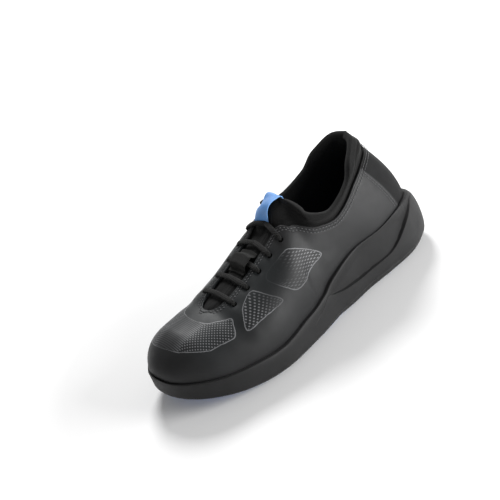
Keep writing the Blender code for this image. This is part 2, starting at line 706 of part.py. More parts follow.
def plate_blank(grow, depth):
    """The rounded plate in the arch notch."""
    span = along_to_y((NOTCH_SPAN[0] + NOTCH_SPAN[1]) / 2)
    half_length, half_width = ARCH_PLATE_LENGTH / 2 + grow, ARCH_PLATE_WIDTH / 2 + grow
    centre_x = NOTCH_INNER_X - ARCH_PLATE_MARGIN - ARCH_PLATE_WIDTH / 2
    corner = ARCH_PLATE_CORNER + grow
    points = []
    for quarter, (sx, sy) in enumerate(((1, 1), (-1, 1), (-1, -1), (1, -1))):
        for k in range(4):
            angle = math.pi / 2 * (quarter + k / 3)
            points.append(
                (
                    centre_x + sx * (half_width - corner) + corner * math.cos(angle),
                    span + sy * (half_length - corner) + corner * math.sin(angle),
                )
            )
    bm = prism(points, SOLE_BORDER_RISE / 2 - depth, OUTSOLE_THICKNESS + grow)
    bend(bm)
    return finish_mesh("arch_plate", bm)


def shell_mesh(name, columns, rows_of, closed, loop):
    """A walled piece. rows_of(i): column i's points from the outer foot, over the edge, to the inner foot."""
    bm = bmesh.new()
    lines = [vertices(bm, rows_of(i)) for i in columns]
    rows = len(lines[0])
    middle = rows // 2
    count = len(lines)
    for k in range(count if loop else count - 1):
        a, b = lines[k], lines[(k + 1) % count]
        shut = closed(columns[k]) and closed(columns[(k + 1) % count])
        forward = columns[k] < columns[(k + 1) % count]
        for j in range(rows - 1):
            if not (shut and middle - 1 <= j <= middle):
                split_quad(bm, (a[j], b[j], b[j + 1], a[j + 1]), forward == (j < middle))
        add_face(bm, [a[-1], b[-1], b[0], a[0]])
    if not loop:
        for line, i in ((lines[0], columns[0]), (lines[-1], columns[-1])):
            for j in range(middle - 1 if closed(i) else middle):
                add_face(bm, [line[j], line[j + 1], line[rows - 2 - j], line[rows - 1 - j]])
    return finish_mesh(name, bm)


def closed_over(last, first_name):
    """Whether a column reaches the ridge and joins its pair there: from the named row to the toe."""
    return lambda i: min(i, int(last.pair[i])) >= last.labels[first_name]


def wall_shares(last, i, rim, top):
    """Shares of column i from the foot line over the midsole's rim to the upper's edge."""
    cup = cup_shares(last, i, rim)
    return cup + [cup[-1] + (top - cup[-1]) * k / WALL_ROWS for k in range(1, WALL_ROWS + 1)]


def upper_rows(last):
    """Column points of the upper: the outer face, the edge, and the inner face one wall further in."""
    closed = closed_over(last, "vamp")
    rim = rim_height(last)

    def rows_of(i):
        top = 1.0 if closed(i) else last.edge_share(i)
        shares = wall_shares(last, i, rim, top)
        outer = [last.point(i, share, -seam_step(last, i)) for share in shares]
        inner = [last.point(i, share, -UPPER_WALL) for share in shares]
        return outer + [(outer[-1] + inner[-1]) / 2] + inner[::-1]

    return rows_of, closed


def lace_rows():
    """The y of each lace row, from the toe end of the throat to its top."""
    first, final = (along_to_y(along) for along in LACE_SPAN)
    return [first + (final - first) * k / (LACE_ROWS - 1) for k in range(LACE_ROWS)]


def eyelet_away(y):
    """How far an eyelet lies from the ridge, along the surface: the lace rows spread toward the top."""
    rows = lace_rows()
    share = (y - rows[0]) / (rows[-1] - rows[0])
    return EYELET_AWAY + EYELET_SPREAD * max(0.0, 2 * share - 1) ** 2


def beside_ridge(last, y, side, away, offset=0.0):
    """A point so far down the lateral (1) or medial (-1) side from the ridge, abreast of the ridge at y."""
    columns = list(range(last.labels["tongue"], last.labels["toe_root"] + 1))
    ridge_y = np.array([last.grid[i, -1, 1] for i in columns])
    k = int(np.clip(np.searchsorted(-ridge_y, -y) - 1, 0, len(columns) - 2))
    f = (ridge_y[k] - y) / (ridge_y[k] - ridge_y[k + 1])
    ends = []
    for c in (columns[k], columns[k + 1]):
        i = c if side > 0 else int(last.pair[c])
        ends.append(last.point(i, last.share_below_top(i, away), offset))
    return ends[0] * (1 - f) + ends[1] * f


def make_upper(last, group, cutters, finish):
    rows_of, closed = upper_rows(last)
    mesh = shell_mesh("upper", list(range(last.count)), rows_of, closed, True)
    upper = add_object("upper", mesh, group, finish)
    bm = bmesh.new()
    for y in lace_rows():
        for side in (1, -1):
            place = beside_ridge(last, y, side, eyelet_away(y))
            aim = Vector(beside_ridge(last, y, side, eyelet_away(y), UPPER_WALL) - place)
            matrix = Matrix.Translation(place) @ aim.to_track_quat("Z", "Y").to_matrix().to_4x4()
            bmesh.ops.create_cone(
                bm,
                cap_ends=True,
                segments=12,
                radius1=EYELET_RADIUS,
                radius2=EYELET_RADIUS,
                depth=UPPER_WALL * 4,
                matrix=matrix,
            )
    cutter_mesh = bpy.data.meshes.new("eyelet_holes")
    bm.to_mesh(cutter_mesh)
    bm.free()
    boolean(upper, add_cutter("eyelet_holes", cutter_mesh, cutters))
    return applied(upper, group, finish)


def tongue_share(last, i):
    """0 along the padded collar, 1 on the tongue, easing over between the saddle and the tongue."""
    start, end = last.labels["saddle"], last.labels["tongue"]
    share = np.clip((min(i, int(last.pair[i])) - start) / (end - start), 0, 1)
    return share * share * (3 - 2 * share)


def collar_column(last, i, rim):
    """Column i of the bootie as outer points, crest and inner points. It lies inside the upper, swells beyond
    the upper's edge, and is padded along the collar."""
    top = min(last.edge_share(i), 1 - TONGUE_HEM / last.length[i])
    shares = wall_shares(last, i, rim, top)[CUP_ROWS:]
    shares += [top + (1 - top) * k / COLLAR_ROWS for k in range(1, COLLAR_ROWS + 1)]
    share_over = tongue_share(last, i)
    bulge = COLLAR_BULGE + (TONGUE_BULGE - COLLAR_BULGE) * share_over
    thick = COLLAR_PAD + (LINING_WALL - COLLAR_PAD) * share_over
    outer, inner = [], []
    for share in shares:
        beyond = np.clip((share - top) * last.length[i] / BULGE_RUN, 0, 1)
        swell = beyond * beyond * (3 - 2 * beyond)
        face = -(UPPER_WALL + LAYER_GAP) + bulge * swell
        outer.append(last.point(i, share, face))
        inner.append(last.point(i, share, face - LINING_WALL - (thick - LINING_WALL) * swell))
    crest = (outer[-1] + inner[-1]) / 2
    crest[2] += np.linalg.norm(outer[-1] - inner[-1]) * CREST_RISE
    return outer, crest, inner


def make_collar(last, group, finish):
    closed = closed_over(last, "tongue")
    rim = rim_height(last)

    def rows_of(i):
        outer, crest, inner = collar_column(last, i, rim)
        return outer + [crest] + inner[::-1]

    front = last.labels["vamp"]
    columns = list(range(front, -1, -1)) + [int(last.pair[i]) for i in range(1, front + 1)]
    mesh = shell_mesh("collar_bootie", columns, rows_of, closed, False)
    return add_object("collar_bootie", mesh, group, finish)


def make_insole(last, group, finish):
    inset = UPPER_WALL + LAYER_GAP
    rings = [[], [], []]
    for i in range(last.count):
        edge = last.point(i, 0) - last.out[i] * inset
        top = edge - last.out[i] * INSOLE_ROUND
        floor = float(bed_height(last.y[i])) + PIECE_GAP
        rings[0].append((edge[0], edge[1], floor))
        rings[1].append((edge[0], edge[1], floor + INSOLE_THICKNESS - INSOLE_ROUND))
        rings[2].append((top[0], top[1], floor + INSOLE_THICKNESS))
    bm = bmesh.new()
    lines = [vertices(bm, ring) for ring in rings]
    for lower, upper in zip(lines, lines[1:]):
        band(bm, lower, upper)
    ladder(bm, last, lines[0])
    ladder(bm, last, lines[-1])
    return add_object("insole", finish_mesh("insole", bm), group, finish)


def sweep(name, places, talls, width, thickness, sides=8):
    """A flat cord along the places, with its thin way along talls."""
    bm = bmesh.new()
    rings = []
    count = len(places)
    for k in range(count):
        ahead = places[min(k + 1, count - 1)] - places[max(k - 1, 0)]
        ahead = ahead / np.linalg.norm(ahead)
        across = np.cross(talls[k], ahead)
        across = across / np.linalg.norm(across)
        tall = np.cross(ahead, across)
        ring = []
        for s in range(sides):
            angle = 2 * math.pi * (s + 0.5) / sides
            wide, thick = math.cos(angle), math.sin(angle)
            wide = math.copysign(abs(wide) ** 0.8, wide)
            ring.append(places[k] + across * wide * width / 2 + tall * thick * thickness / 2)
        rings.append(vertices(bm, ring))
    for a, b in zip(rings, rings[1:]):
        band(bm, a, b)
    bm.faces.new(rings[0])
    bm.faces.new(rings[-1])
    return finish_mesh(name, bm)


def lace_path(last, y):
    """From the lateral eyelet over the throat to the medial one, a little clear of what it lies on."""
    lift = PIECE_GAP * 2 + LACE_THICKNESS / 2
    places, talls = [], []
    for k in range(LACE_STEPS + 1):
        across = 1 - 2 * k / LACE_STEPS
        side = 1 if across >= 0 else -1
        away = abs(across) * (eyelet_away(y) - EYELET_RADIUS / 2)
        place = beside_ridge(last, y, side, away, lift)
        tall = place - beside_ridge(last, y, side, away)
        places.append(place)
        talls.append(tall / np.linalg.norm(tall))
    return places, talls


def make_laces(last, group, finish):
    for k, y in enumerate(lace_rows()):
        places, talls = lace_path(last, y)
        name = f"lace_bar_{k + 1}"
        add_object(name, sweep(name, places, talls, LACE_WIDTH, LACE_THICKNESS), group, finish)


def ribbon_mesh(name, under, over):
    """A strip from its rows of points underneath and on top, each row running across it."""
    bm = bmesh.new()
    rings = [vertices(bm, list(low) + list(high)[::-1]) for low, high in zip(under, over)]
    for a, b in zip(rings, rings[1:]):
        band(bm, a, b)
    bm.faces.new(rings[0])
    bm.faces.new(rings[-1])
    return finish_mesh(name, bm)


def across_row(last, y, width, offset):
    """Points across a strip centred on the ridge, at this y and offset from the last."""
    row = []
    for k in range(RIBBON_STEPS + 1):
        x = (k / RIBBON_STEPS - 0.5) * width
        row.append(beside_ridge(last, y, 1 if x >= 0 else -1, abs(x), offset))
    return row


def tongue_face():
    """The offset of the tongue's outer face from the last, at the ridge."""
    return -(UPPER_WALL + LAYER_GAP) + TONGUE_BULGE


def make_keeper(last, group, finish):
    """The strap on the tongue that holds one lace row down."""
    middle = lace_rows()[LACE_ROWS // 2]
    low = tongue_face() + PIECE_GAP
    high = 3 * PIECE_GAP + LACE_THICKNESS
    under, over = [], []
    for along, lift in KEEPER_PROFILE:
        y = middle + along * KEEPER_LENGTH / 2
        offset = low + (high - low) * lift
        under.append(across_row(last, y, KEEPER_WIDTH, offset))
        over.append(across_row(last, y, KEEPER_WIDTH, offset + RIBBON_THICKNESS))
    return add_object("lace_keeper", ribbon_mesh("lace_keeper", under, over), group, finish)


def tongue_crest(last, x):
    """The bootie's outer, crest and inner point on the tongue's top edge at this x."""
    rim = rim_height(last)
    first, final = last.labels["tongue_side"] - 1, last.labels["tongue"]
    columns = list(range(first, final + 1)) + [int(last.pair[i]) for i in range(final, first - 1, -1)]
    ends = []
    for i in columns:
        outer, crest, inner = collar_column(last, i, rim)
        ends.append((outer[-1], crest, inner[-1], inner[-2]))
    ends.sort(key=lambda end: end[1][0])
    xs = [end[1][0] for end in ends]
    found = []
    for k in range(4):
        found.append(np.array([np.interp(x, xs, [end[k][axis] for end in ends]) for axis in range(3)]))
    return found


def make_tab(last, group, finish):
    """The ribbon folded over the tongue's top edge."""
    top_y = last.grid[last.labels["tongue"], -1, 1]
    under, over = [], []
    for share in TAB_ROWS:
        y = top_y - TAB_REACH * (1 - share)
        offset = tongue_face() + TAB_CLEAR
        under.append(across_row(last, y, TAB_WIDTH, offset))
        over.append(across_row(last, y, TAB_WIDTH, offset + RIBBON_THICKNESS))
    fold = [[], [], [], []]
    for k in range(RIBBON_STEPS + 1):
        x = (k / RIBBON_STEPS - 0.5) * TAB_WIDTH
        outer, crest, inner, deeper = tongue_crest(last, x)
        through = (inner - outer) / np.linalg.norm(inner - outer)
        rise = np.array([0, 0, 1.0])
        down = (deeper - inner) / np.linalg.norm(deeper - inner)
        stops = (
            (outer, rise * FOLD_LEAN - through),
            (crest, rise - through / 2),
            (crest, rise + through / 2),
            (inner + down * FOLD_TUCK, through + rise * FOLD_LEAN),
        )
        for row, (place, way) in zip(fold, stops):
            way = way / np.linalg.norm(way)
            row.append((place + way * TAB_CLEAR, place + way * (TAB_CLEAR + RIBBON_THICKNESS)))
    for row in fold:
        under.append([pair[0] for pair in row])
        over.append([pair[1] for pair in row])
    return add_object("tongue_tab", ribbon_mesh("tongue_tab", under, over), group, finish)


def centre_on_floor(groups):
    """Moves every mesh so that the middle of the shoe's outline stands over the origin."""
    places = np.array([v.co for obj in groups[0].objects for v in obj.data.vertices])
    middle = (places.min(axis=0) + places.max(axis=0)) / 2
    shift = Matrix.Translation((-middle[0], -middle[1], 0.0))
    for group in groups:
        for obj in group.objects:
            obj.data.transform(shift)


def build():
    clear_scene()
    shoe = collection("safety_sneaker")
    cutters = collection("cutters")
    leather = material("smooth_upper", (0.035, 0.036, 0.038), 0.52)
    knit = material("padded_knit", (0.018, 0.018, 0.019), 0.9)
    foam = material("sole_foam", (0.030, 0.030, 0.031), 0.62)
    grip = material("blue_rubber", (0.020, 0.150, 0.620), 0.55)
    lining = material("blue_insole", (0.050, 0.190, 0.600), 0.85)
    cord = material("lace_weave", (0.012, 0.012, 0.013), 0.85)
    tab = material("tab_ribbon", (0.070, 0.270, 0.720), 0.5)

    last = Last()
    make_midsole(last, shoe, cutters, foam)
    make_outsole(last, shoe, grip)
    add_object("arch_plate", plate_blank(0.0, 0.0), shoe, grip)
    make_insole(last, shoe, lining)
    make_upper(last, shoe, cutters, leather)
    make_collar(last, shoe, knit)
    make_laces(last, shoe, cord)
    make_keeper(last, shoe, knit)
    make_tab(last, shoe, tab)
    centre_on_floor((shoe, cutters))
    return last


build()
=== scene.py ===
"""Looks of the low-cut safety sneaker, left foot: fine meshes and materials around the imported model.

Metres, +Z up, the toe to -Y and the outer side to +X. The last is the same table of sections as the solids
are made from, read at a finer step.
"""

import math
from collections import namedtuple

import bmesh
import bpy
import numpy as np
from mathutils import Matrix, Vector


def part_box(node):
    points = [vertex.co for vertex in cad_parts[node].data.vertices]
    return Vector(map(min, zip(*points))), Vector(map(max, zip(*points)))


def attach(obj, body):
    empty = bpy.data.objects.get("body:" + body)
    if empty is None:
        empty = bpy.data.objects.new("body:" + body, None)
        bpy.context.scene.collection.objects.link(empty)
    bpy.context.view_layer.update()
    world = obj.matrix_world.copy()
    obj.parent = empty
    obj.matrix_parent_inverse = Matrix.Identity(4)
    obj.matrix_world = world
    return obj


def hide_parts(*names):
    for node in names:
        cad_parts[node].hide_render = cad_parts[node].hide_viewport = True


# Sizes shared with the solids
LAST_LENGTH = 0.2886
BALL_WIDTH = 0.100
INSTEP_HEIGHT = 0.1075
SOLE_RIM_HEIGHT = 0.050
HEEL_BED_HEIGHT = 0.024
BALL_BED_HEIGHT = 0.015
TOE_SPRING = 0.013
HEEL_BEVEL = 0.003
WAIST_RISE = 0.0012
SOLE_FLARE = 0.012
SOLE_TUCK = 0.010
SOLE_LEDGE = 0.0035
RIM_LIP = 0.0014
UPPER_WALL = 0.0020
SEAM_STEP = 0.0010
LINING_WALL = 0.0032
COLLAR_PAD = 0.0065
COLLAR_BULGE = 0.0042
TONGUE_BULGE = 0.0012
BULGE_RUN = 0.0080
CREST_RISE = 0.35
PIECE_GAP = 0.0003
LAYER_GAP = 0.0005
INSOLE_THICKNESS = 0.0040
OUTSOLE_THICKNESS = 0.0045
SOLE_BORDER_RISE = 0.0018
SOLE_BORDER_WIDTH = 0.0045
LUG_PITCH = 0.0140
NOTCH_INNER_X = -0.0065
ARCH_PLATE_LENGTH = 0.085
ARCH_PLATE_WIDTH = 0.022
ARCH_PLATE_MARGIN = 0.0035
ARCH_PLATE_CORNER = 0.004
LACE_THICKNESS = 0.0026
EYELET_RADIUS = 0.0023
EYELET_AWAY = 0.0225
EYELET_SPREAD = 0.0035
LACE_ROWS = 5
KEEPER_WIDTH = 0.021
KEEPER_LENGTH = 0.020
TAB_WIDTH = 0.0187
HEEL_FLAT_START = 0.12
FOREFOOT_FLAT_END = 0.70
BED_HEEL_END = 0.30
BED_BALL_START = 0.66
NOTCH_SPAN = (0.275, 0.630)
LACE_SPAN = (0.723, 0.501)
TOE_POLE_SLOPE = 0.42
TOE_POLE_ROUND = 0.012
THROAT_END_POWER = 3.0
NORMAL_ROUNDS = 2
TOE_CURVE = 1.8
WAIST_SPAN = (0.36, 0.62)
BOW_PEAK = 27 / 4
WIDEST_SHARE = 0.34
LEDGE_TOP = 0.93
LEDGE_SLOPE = 0.02
LEDGE_FADE = 0.25
LEDGE_SHARE = 0.8

# Sizes of the visible pieces alone
SEEN_LACE_WIDTH = 0.0044
SEEN_LACE_THICKNESS = 0.0019
LACE_DIVE = 0.0028
CORD_SIDES = 18
BRAID_TURNS = 420
STRAP_THICKNESS = 0.00096
TAB_REACH = 0.0155
TAB_SHIFT = -0.0055
TAB_THICKNESS = 0.0008
TAB_CLEAR = 0.0006
TAB_FOLD_CLEAR = 0.0014
TAB_LIFT = 0.0024
EDGE_STITCH_LINES = (0.0026, 0.0052)
SEAM_STITCH_LINES = (0.0024, 0.0048)
STITCH_LIFT = -0.00008
STITCH_TURN = 0.0045
EASE_ROUNDS = 2
TONGUE_CORNER_EASE = (0.0012, 0.0010, -0.0038)
KNIT_RIBS = 99.2
EYELET_SIDES = 28
SOLE_CUT_BELOW = 0.02
INSOLE_ROUND = 0.0012
INSOLE_DISH = 0.0012

Section = namedtuple(
    "Section", "name steps along lateral medial centre top_along top_height top_half dome square bow drop"
)
SECTIONS = [
    Section("heel", 2, 0.042, 0.000, 0.000, 0.00, 0.145, 1.100, 0.000, 0.0, 2.00, 0.066, 0.160),
    Section("heel_turn", 2, 0.062, 0.178, 0.193, 0.00, 0.163, 1.092, 0.119, 0.0, 2.00, 0.046, 0.163),
    Section("counter", 3, 0.125, 0.319, 0.305, 0.00, 0.221, 1.002, 0.238, 0.0, 2.00, 0.038, 0.125),
    Section("ankle", 2, 0.235, 0.370, 0.330, 0.00, 0.268, 0.879, 0.301, 0.0, 2.00, 0.033, 0.066),
    Section("collar", 2, 0.335, 0.367, 0.327, 0.00, 0.364, 0.790, 0.347, 0.1, 2.00, 0.021, 0.080),
    Section("saddle", 2, 0.420, 0.397, 0.336, 0.00, 0.436, 0.885, 0.292, 0.3, 2.00, 0.017, 0.154),
    Section("tongue_side", 2, 0.475, 0.420, 0.370, 0.00, 0.440, 0.968, 0.115, 0.6, 1.75, 0.019, 0.233),
    Section("tongue", 1, 0.500, 0.444, 0.389, 0.00, 0.443, 0.985, 0.000, 0.85, 1.72, 0.021, 0.276),
    Section("tongue_rise", 1, 0.520, 0.459, 0.403, 0.00, 0.4835, 0.935, 0.000, 0.95, 1.92, 0.020, 0.197),
    Section("throat", 2, 0.540, 0.473, 0.417, 0.00, 0.502, 0.835, 0.000, 1.0, 2.58, 0.019, 0.141),
    Section("instep", 3, 0.590, 0.492, 0.444, 0.00, 0.567, 0.741, 0.000, 1.0, 2.66, 0.016, 0.126),
    Section("ball", 3, 0.690, 0.525, 0.466, 0.00, 0.685, 0.614, 0.000, 1.0, 2.55, 0.011, 0.128),
    Section("vamp", 2, 0.785, 0.498, 0.480, 0.00, 0.779, 0.548, 0.000, 1.0, 2.34, 0.015, 0.000),
    Section("toe_root", 2, 0.870, 0.419, 0.439, -0.01, 0.878, 0.534, 0.000, 1.0, 2.19, 0.020, 0.000),
    Section("toe_side", 2, 0.935, 0.280, 0.345, -0.01, 0.878, 0.534, 0.000, 1.0, 2.24, 0.022, 0.000),
    Section("toe_turn", 2, 0.968, 0.132, 0.200, -0.01, 0.878, 0.534, 0.000, 1.0, 2.31, 0.029, 0.000),
    Section("toe", 0, 0.978, -0.109, 0.109, -0.01, 0.878, 0.534, 0.000, 1.0, 2.30, 0.034, 0.000),
]
SoleRow = namedtuple("SoleRow", "name rim flare tuck crown step ledge")
SOLE_ROWS = [
    SoleRow("heel", 0.86, 0.94, 1.00, 2.1, 0.98, 0.0),
    SoleRow("heel_turn", 0.97, 1.02, 0.95, 2.1, 1.00, 0.3),
    SoleRow("counter", 1.02, 0.74, 0.80, 2.2, 0.77, 0.9),
    SoleRow("ankle", 0.94, 0.55, 0.65, 2.4, 0.43, 1.0),
    SoleRow("collar", 0.92, 0.58, 0.55, 2.8, 0.41, 1.0),
    SoleRow("saddle", 0.82, 0.58, 0.50, 3.2, 0.52, 0.7),
    SoleRow("tongue_side", 0.71, 0.53, 0.50, 3.5, 0.73, 0.4),
    SoleRow("tongue", 0.65, 0.47, 0.50, 3.6, 0.89, 0.2),
    SoleRow("tongue_rise", 0.62, 0.445, 0.50, 3.7, 0.82, 0.15),
    SoleRow("throat", 0.59, 0.42, 0.50, 3.8, 0.75, 0.1),
    SoleRow("instep", 0.54, 0.41, 0.50, 4.0, 0.59, 0.0),
    SoleRow("ball", 0.45, 0.41, 0.50, 4.0, 0.50, 0.0),
    SoleRow("vamp", 0.48, 0.40, 0.55, 4.0, 0.50, 0.0),
    SoleRow("toe_root", 0.52, 0.35, 0.70, 4.0, 0.50, 0.0),
    SoleRow("toe_side", 0.57, 0.30, 0.85, 4.0, 0.50, 0.0),
    SoleRow("toe_turn", 0.60, 0.28, 0.90, 4.0, 0.50, 0.0),
    SoleRow("toe", 0.66, 0.28, 0.90, 4.0, 0.50, 0.0),
]
HALF = len(SECTIONS) - 1

# Camera of the photograph
AZIMUTH, ELEVATION, ROLL = 61.682, 29.207, 21.477
DISTANCE = 0.800
FOCAL_PIXELS = 958.814
CENTRE_PIXEL = (282.169, 263.735)
FRAME_PIXELS = 500
AIM = (0.0, 0.0, 0.050)
SENSOR_WIDTH = 36

# Floor and lights: the floor glows more with distance, so that it is white to the horizon
FLOOR_REACH = 30
FLOOR_GLOW_SPAN = (0.22, 0.62)
FLOOR_GLOW = (0.06, 0.9)
WORLD_STRENGTH = 0.28
Light = namedtuple("Light", "name place target size power")
LIGHTS = [
    Light("key", (1.02, 0.72, 0.34), (0, 0.02, 0.05), 0.9, 27),
    Light("far_side", (-0.80, 0.52, 1.0), (0, 0.02, 0.03), 0.5, 19),
]


def smooth(t):
    t = np.clip(t, 0, 1)
    return t * t * (3 - 2 * t)


def monotone(knots, values, at):
    """Cubic through the values that never overshoots them, so a flat run stays flat."""
    step = np.diff(knots)
    rise = np.diff(values) / step
    slope = np.zeros(len(values))
    for k in range(1, len(values) - 1):
        if rise[k - 1] * rise[k] > 0:
            a, b = 2 * step[k] + step[k - 1], step[k] + 2 * step[k - 1]
            slope[k] = (a + b) / (a / rise[k - 1] + b / rise[k])
    slope[0], slope[-1] = rise[0], rise[-1]
    return hermite(knots, values, slope, at)


def spline(knots, values, at):
    """Smooth cubic through the values: a Catmull-Rom curve on uneven knots."""
    slope = np.zeros(len(values))
    step = np.diff(knots)
    rise = np.diff(values) / step
    slope[1:-1] = (rise[:-1] * step[1:] + rise[1:] * step[:-1]) / (step[1:] + step[:-1])
    return hermite(knots, values, slope, at)


def hermite(knots, values, slope, at):
    step = np.diff(knots)
    k = np.clip(np.searchsorted(knots, at, side="right") - 1, 0, len(step) - 1)
    t, h = (at - knots[k]) / step[k], step[k]
    return (
        (1 + 2 * t) * (1 - t) ** 2 * values[k]
        + t * (1 - t) ** 2 * h * slope[k]
        + t * t * (3 - 2 * t) * values[k + 1]
        + t * t * (t - 1) * h * slope[k + 1]
    )


def run_along(points):
    """Length from the first point to each one, along the line through them."""
    return np.concatenate([[0], np.cumsum(np.linalg.norm(np.diff(points, axis=0), axis=1))])


def along_line(curve, run, points, at):
    """Points read off a line at lengths along it."""
    return np.stack([curve(run, points[:, axis], at) for axis in range(3)], -1)


def straight(run, values, at):
    return np.interp(at, run, values)


def around(values):
    """A row's values for the lateral side from heel to toe, then for the medial side back to the heel."""
    lateral, medial = values
    return np.array(list(lateral) + list(medial[-2:0:-1]), float)


def both(name, table=SECTIONS):
    column = [getattr(row, name) for row in table]
    return around((column, column))


def along_to_y(along):
    return LAST_LENGTH * (0.5 - along)


def y_to_along(y):
    return 0.5 - y / LAST_LENGTH


def sole_rise(y):
    """How far the sole's underside lifts off the floor: toe spring, heel bevel and a shallow waist."""
    along = y_to_along(np.asarray(y, float))
    toe = np.clip((along - FOREFOOT_FLAT_END) / (1 - FOREFOOT_FLAT_END), 0, None)
    heel = np.clip((HEEL_FLAT_START - along) / HEEL_FLAT_START, 0, None)
    waist = np.clip((along - WAIST_SPAN[0]) / (WAIST_SPAN[1] - WAIST_SPAN[0]), 0, 1)
    return TOE_SPRING * toe**TOE_CURVE + HEEL_BEVEL * heel**2 + WAIST_RISE * np.sin(math.pi * waist) ** 2


def bed_height(y):
    along = y_to_along(np.asarray(y, float))
    t = smooth((along - BED_HEEL_END) / (BED_BALL_START - BED_HEEL_END))
    return sole_rise(y) + HEEL_BED_HEIGHT * (1 - t) + BALL_BED_HEIGHT * t


class Last:
    """The last: a loop of columns from the foot line to the top line. Layers lie along its normals."""

    def __init__(self, density, samples=160):
        self.samples = samples
        self.density = density
        foot_x = around(([r.lateral for r in SECTIONS], [-r.medial for r in SECTIONS])) * BALL_WIDTH
        foot_x[HALF] = SECTIONS[HALF].lateral * BALL_WIDTH
        foot_y = along_to_y(both("along"))
        chord = np.hypot(np.diff(np.append(foot_x, foot_x[0])), np.diff(np.append(foot_y, foot_y[0])))
        self.stations = np.concatenate([[0], np.cumsum(chord)])
        self.period = self.stations[-1]
        self.at, self.labels = self.spread(density)
        self.count = len(self.at)
        self.toe = self.labels["toe"]
        self.x, self.y = self.read(foot_x), self.read(foot_y)
        self.fit_columns()

    def spread(self, density, seam_gap=0.0008):
        """Column places: the rows' own, and evenly between. The seam has a second column close behind it."""
        lateral, labels = [], {}
        for k, row in enumerate(SECTIONS[:-1]):
            labels[row.name] = len(lateral)
            steps = row.steps * density
            start, end = self.stations[k], self.stations[k + 1]
            lateral += [start + (end - start) * i / steps for i in range(steps)]
            if row.name == "counter":
                lateral.insert(labels["counter"], start - seam_gap)
                labels["counter"] += 1
        labels["toe"] = len(lateral)
        lateral.append(self.stations[HALF])
        medial = []
        for k in range(HALF, 2 * HALF):
            row = SECTIONS[2 * HALF - k - 1]
            steps = row.steps * density
            start, end = self.stations[k], self.stations[k + 1]
            if row.name == "counter":
                seam = end
            medial += [start + (end - start) * i / steps for i in range(steps)]
        return np.array(lateral + sorted(medial[1:] + [seam + seam_gap])), labels

    def read(self, values, curve=spline):
        """A row value at every column, on a curve that closes on itself."""
        pad = 4
        before, after = self.stations[-1 - pad : -1] - self.period, self.stations[:pad] + self.period
        knots = np.concatenate([before, self.stations[:-1], after])
        return curve(knots, np.concatenate([values[-pad:], values, values[:pad]]), self.at)

    def evened(self, values):
        read = self.read(values, monotone)
        return (read + read[self.pair]) / 2

    def fit_columns(self):
        self.pair = np.array([(self.count - i) % self.count for i in range(self.count)])
        ahead_x, ahead_y = (np.roll(line, -1) - np.roll(line, 1) for line in (self.x, self.y))
        run = np.hypot(ahead_x, ahead_y)
        self.out = np.stack([-ahead_y / run, ahead_x / run, np.zeros(self.count)], -1)
        foot = np.stack([self.x, self.y, bed_height(self.y) + PIECE_GAP], -1)
        side = np.where(np.arange(self.count) <= self.toe, 1.0, -1.0)
        half = self.read(both("top_half"), monotone) * BALL_WIDTH
        top_x = side * half + self.evened(both("centre")) * BALL_WIDTH
        top_y = along_to_y(self.evened(both("top_along")))
        top_z = self.evened(both("top_height")) * INSTEP_HEIGHT
        top = np.stack([top_x, top_y, top_z], -1)
        dome = self.read(both("dome"), monotone)[:, None]
        square = self.read(both("square"), monotone)[:, None]
        bow = self.read(both("bow"))[:, None] * BALL_WIDTH
        self.drop = self.read(both("drop"), monotone) * BALL_WIDTH
        t = np.linspace(0, 1, self.samples + 1)[None, :]
        angle = t * math.pi / 2
        across = dome * (1 - np.cos(angle).clip(0) ** (2 / square)) + (1 - dome) * t**2
        up = dome * np.sin(angle) ** (2 / square) + (1 - dome) * t
        path = foot[:, None] + np.stack([across, across, 0 * across], -1) * (top - foot)[:, None]
        path += self.out[:, None, :] * (bow * BOW_PEAK * t * (1 - t) ** 2)[:, :, None]
        pole_y = along_to_y(SECTIONS[-1].top_along)
        beyond = np.clip(pole_y - path[:, :, 1], 0, None)
        ahead = TOE_POLE_SLOPE * (np.hypot(beyond, TOE_POLE_ROUND) - TOE_POLE_ROUND)
        low = foot[:, None, 2] + ahead[:, :1]
        path[:, :, 2] = low + (top[:, None, 2] - low) * up - ahead
        self.grid = np.array([self.even(p) for p in path])
        self.ease_quarter()
        self.length = np.linalg.norm(np.diff(self.grid, axis=1), axis=2).sum(axis=1)
        self.normals = self.find_normals()

    def ease_quarter(self):
        """Evens the wall below the throat's corner, where the columns bunch together."""
        place = np.minimum(np.arange(self.count), self.pair)
        rows = {name: self.labels[name] for name in ("collar", "saddle", "throat", "ball")}
        here = smooth((place - rows["collar"]) / (rows["saddle"] - rows["collar"]))
        here = here * smooth((rows["ball"] - place) / (rows["ball"] - rows["throat"]))
        t = np.linspace(0, 1, self.samples + 1)
        share = smooth((t - 0.36) / 0.14) * smooth((0.93 - t) / 0.14)
        weight = (here[:, None] * share[None, :])[..., None]
        for _ in range(EASE_ROUNDS * self.density**2):
            mean = (np.roll(self.grid, 1, axis=0) + 2 * self.grid + np.roll(self.grid, -1, axis=0)) / 4
            self.grid = self.grid + (mean - self.grid) * weight

    def even(self, path):
        run = run_along(path)
        return along_line(straight, run, path, np.linspace(0, run[-1], self.samples + 1))

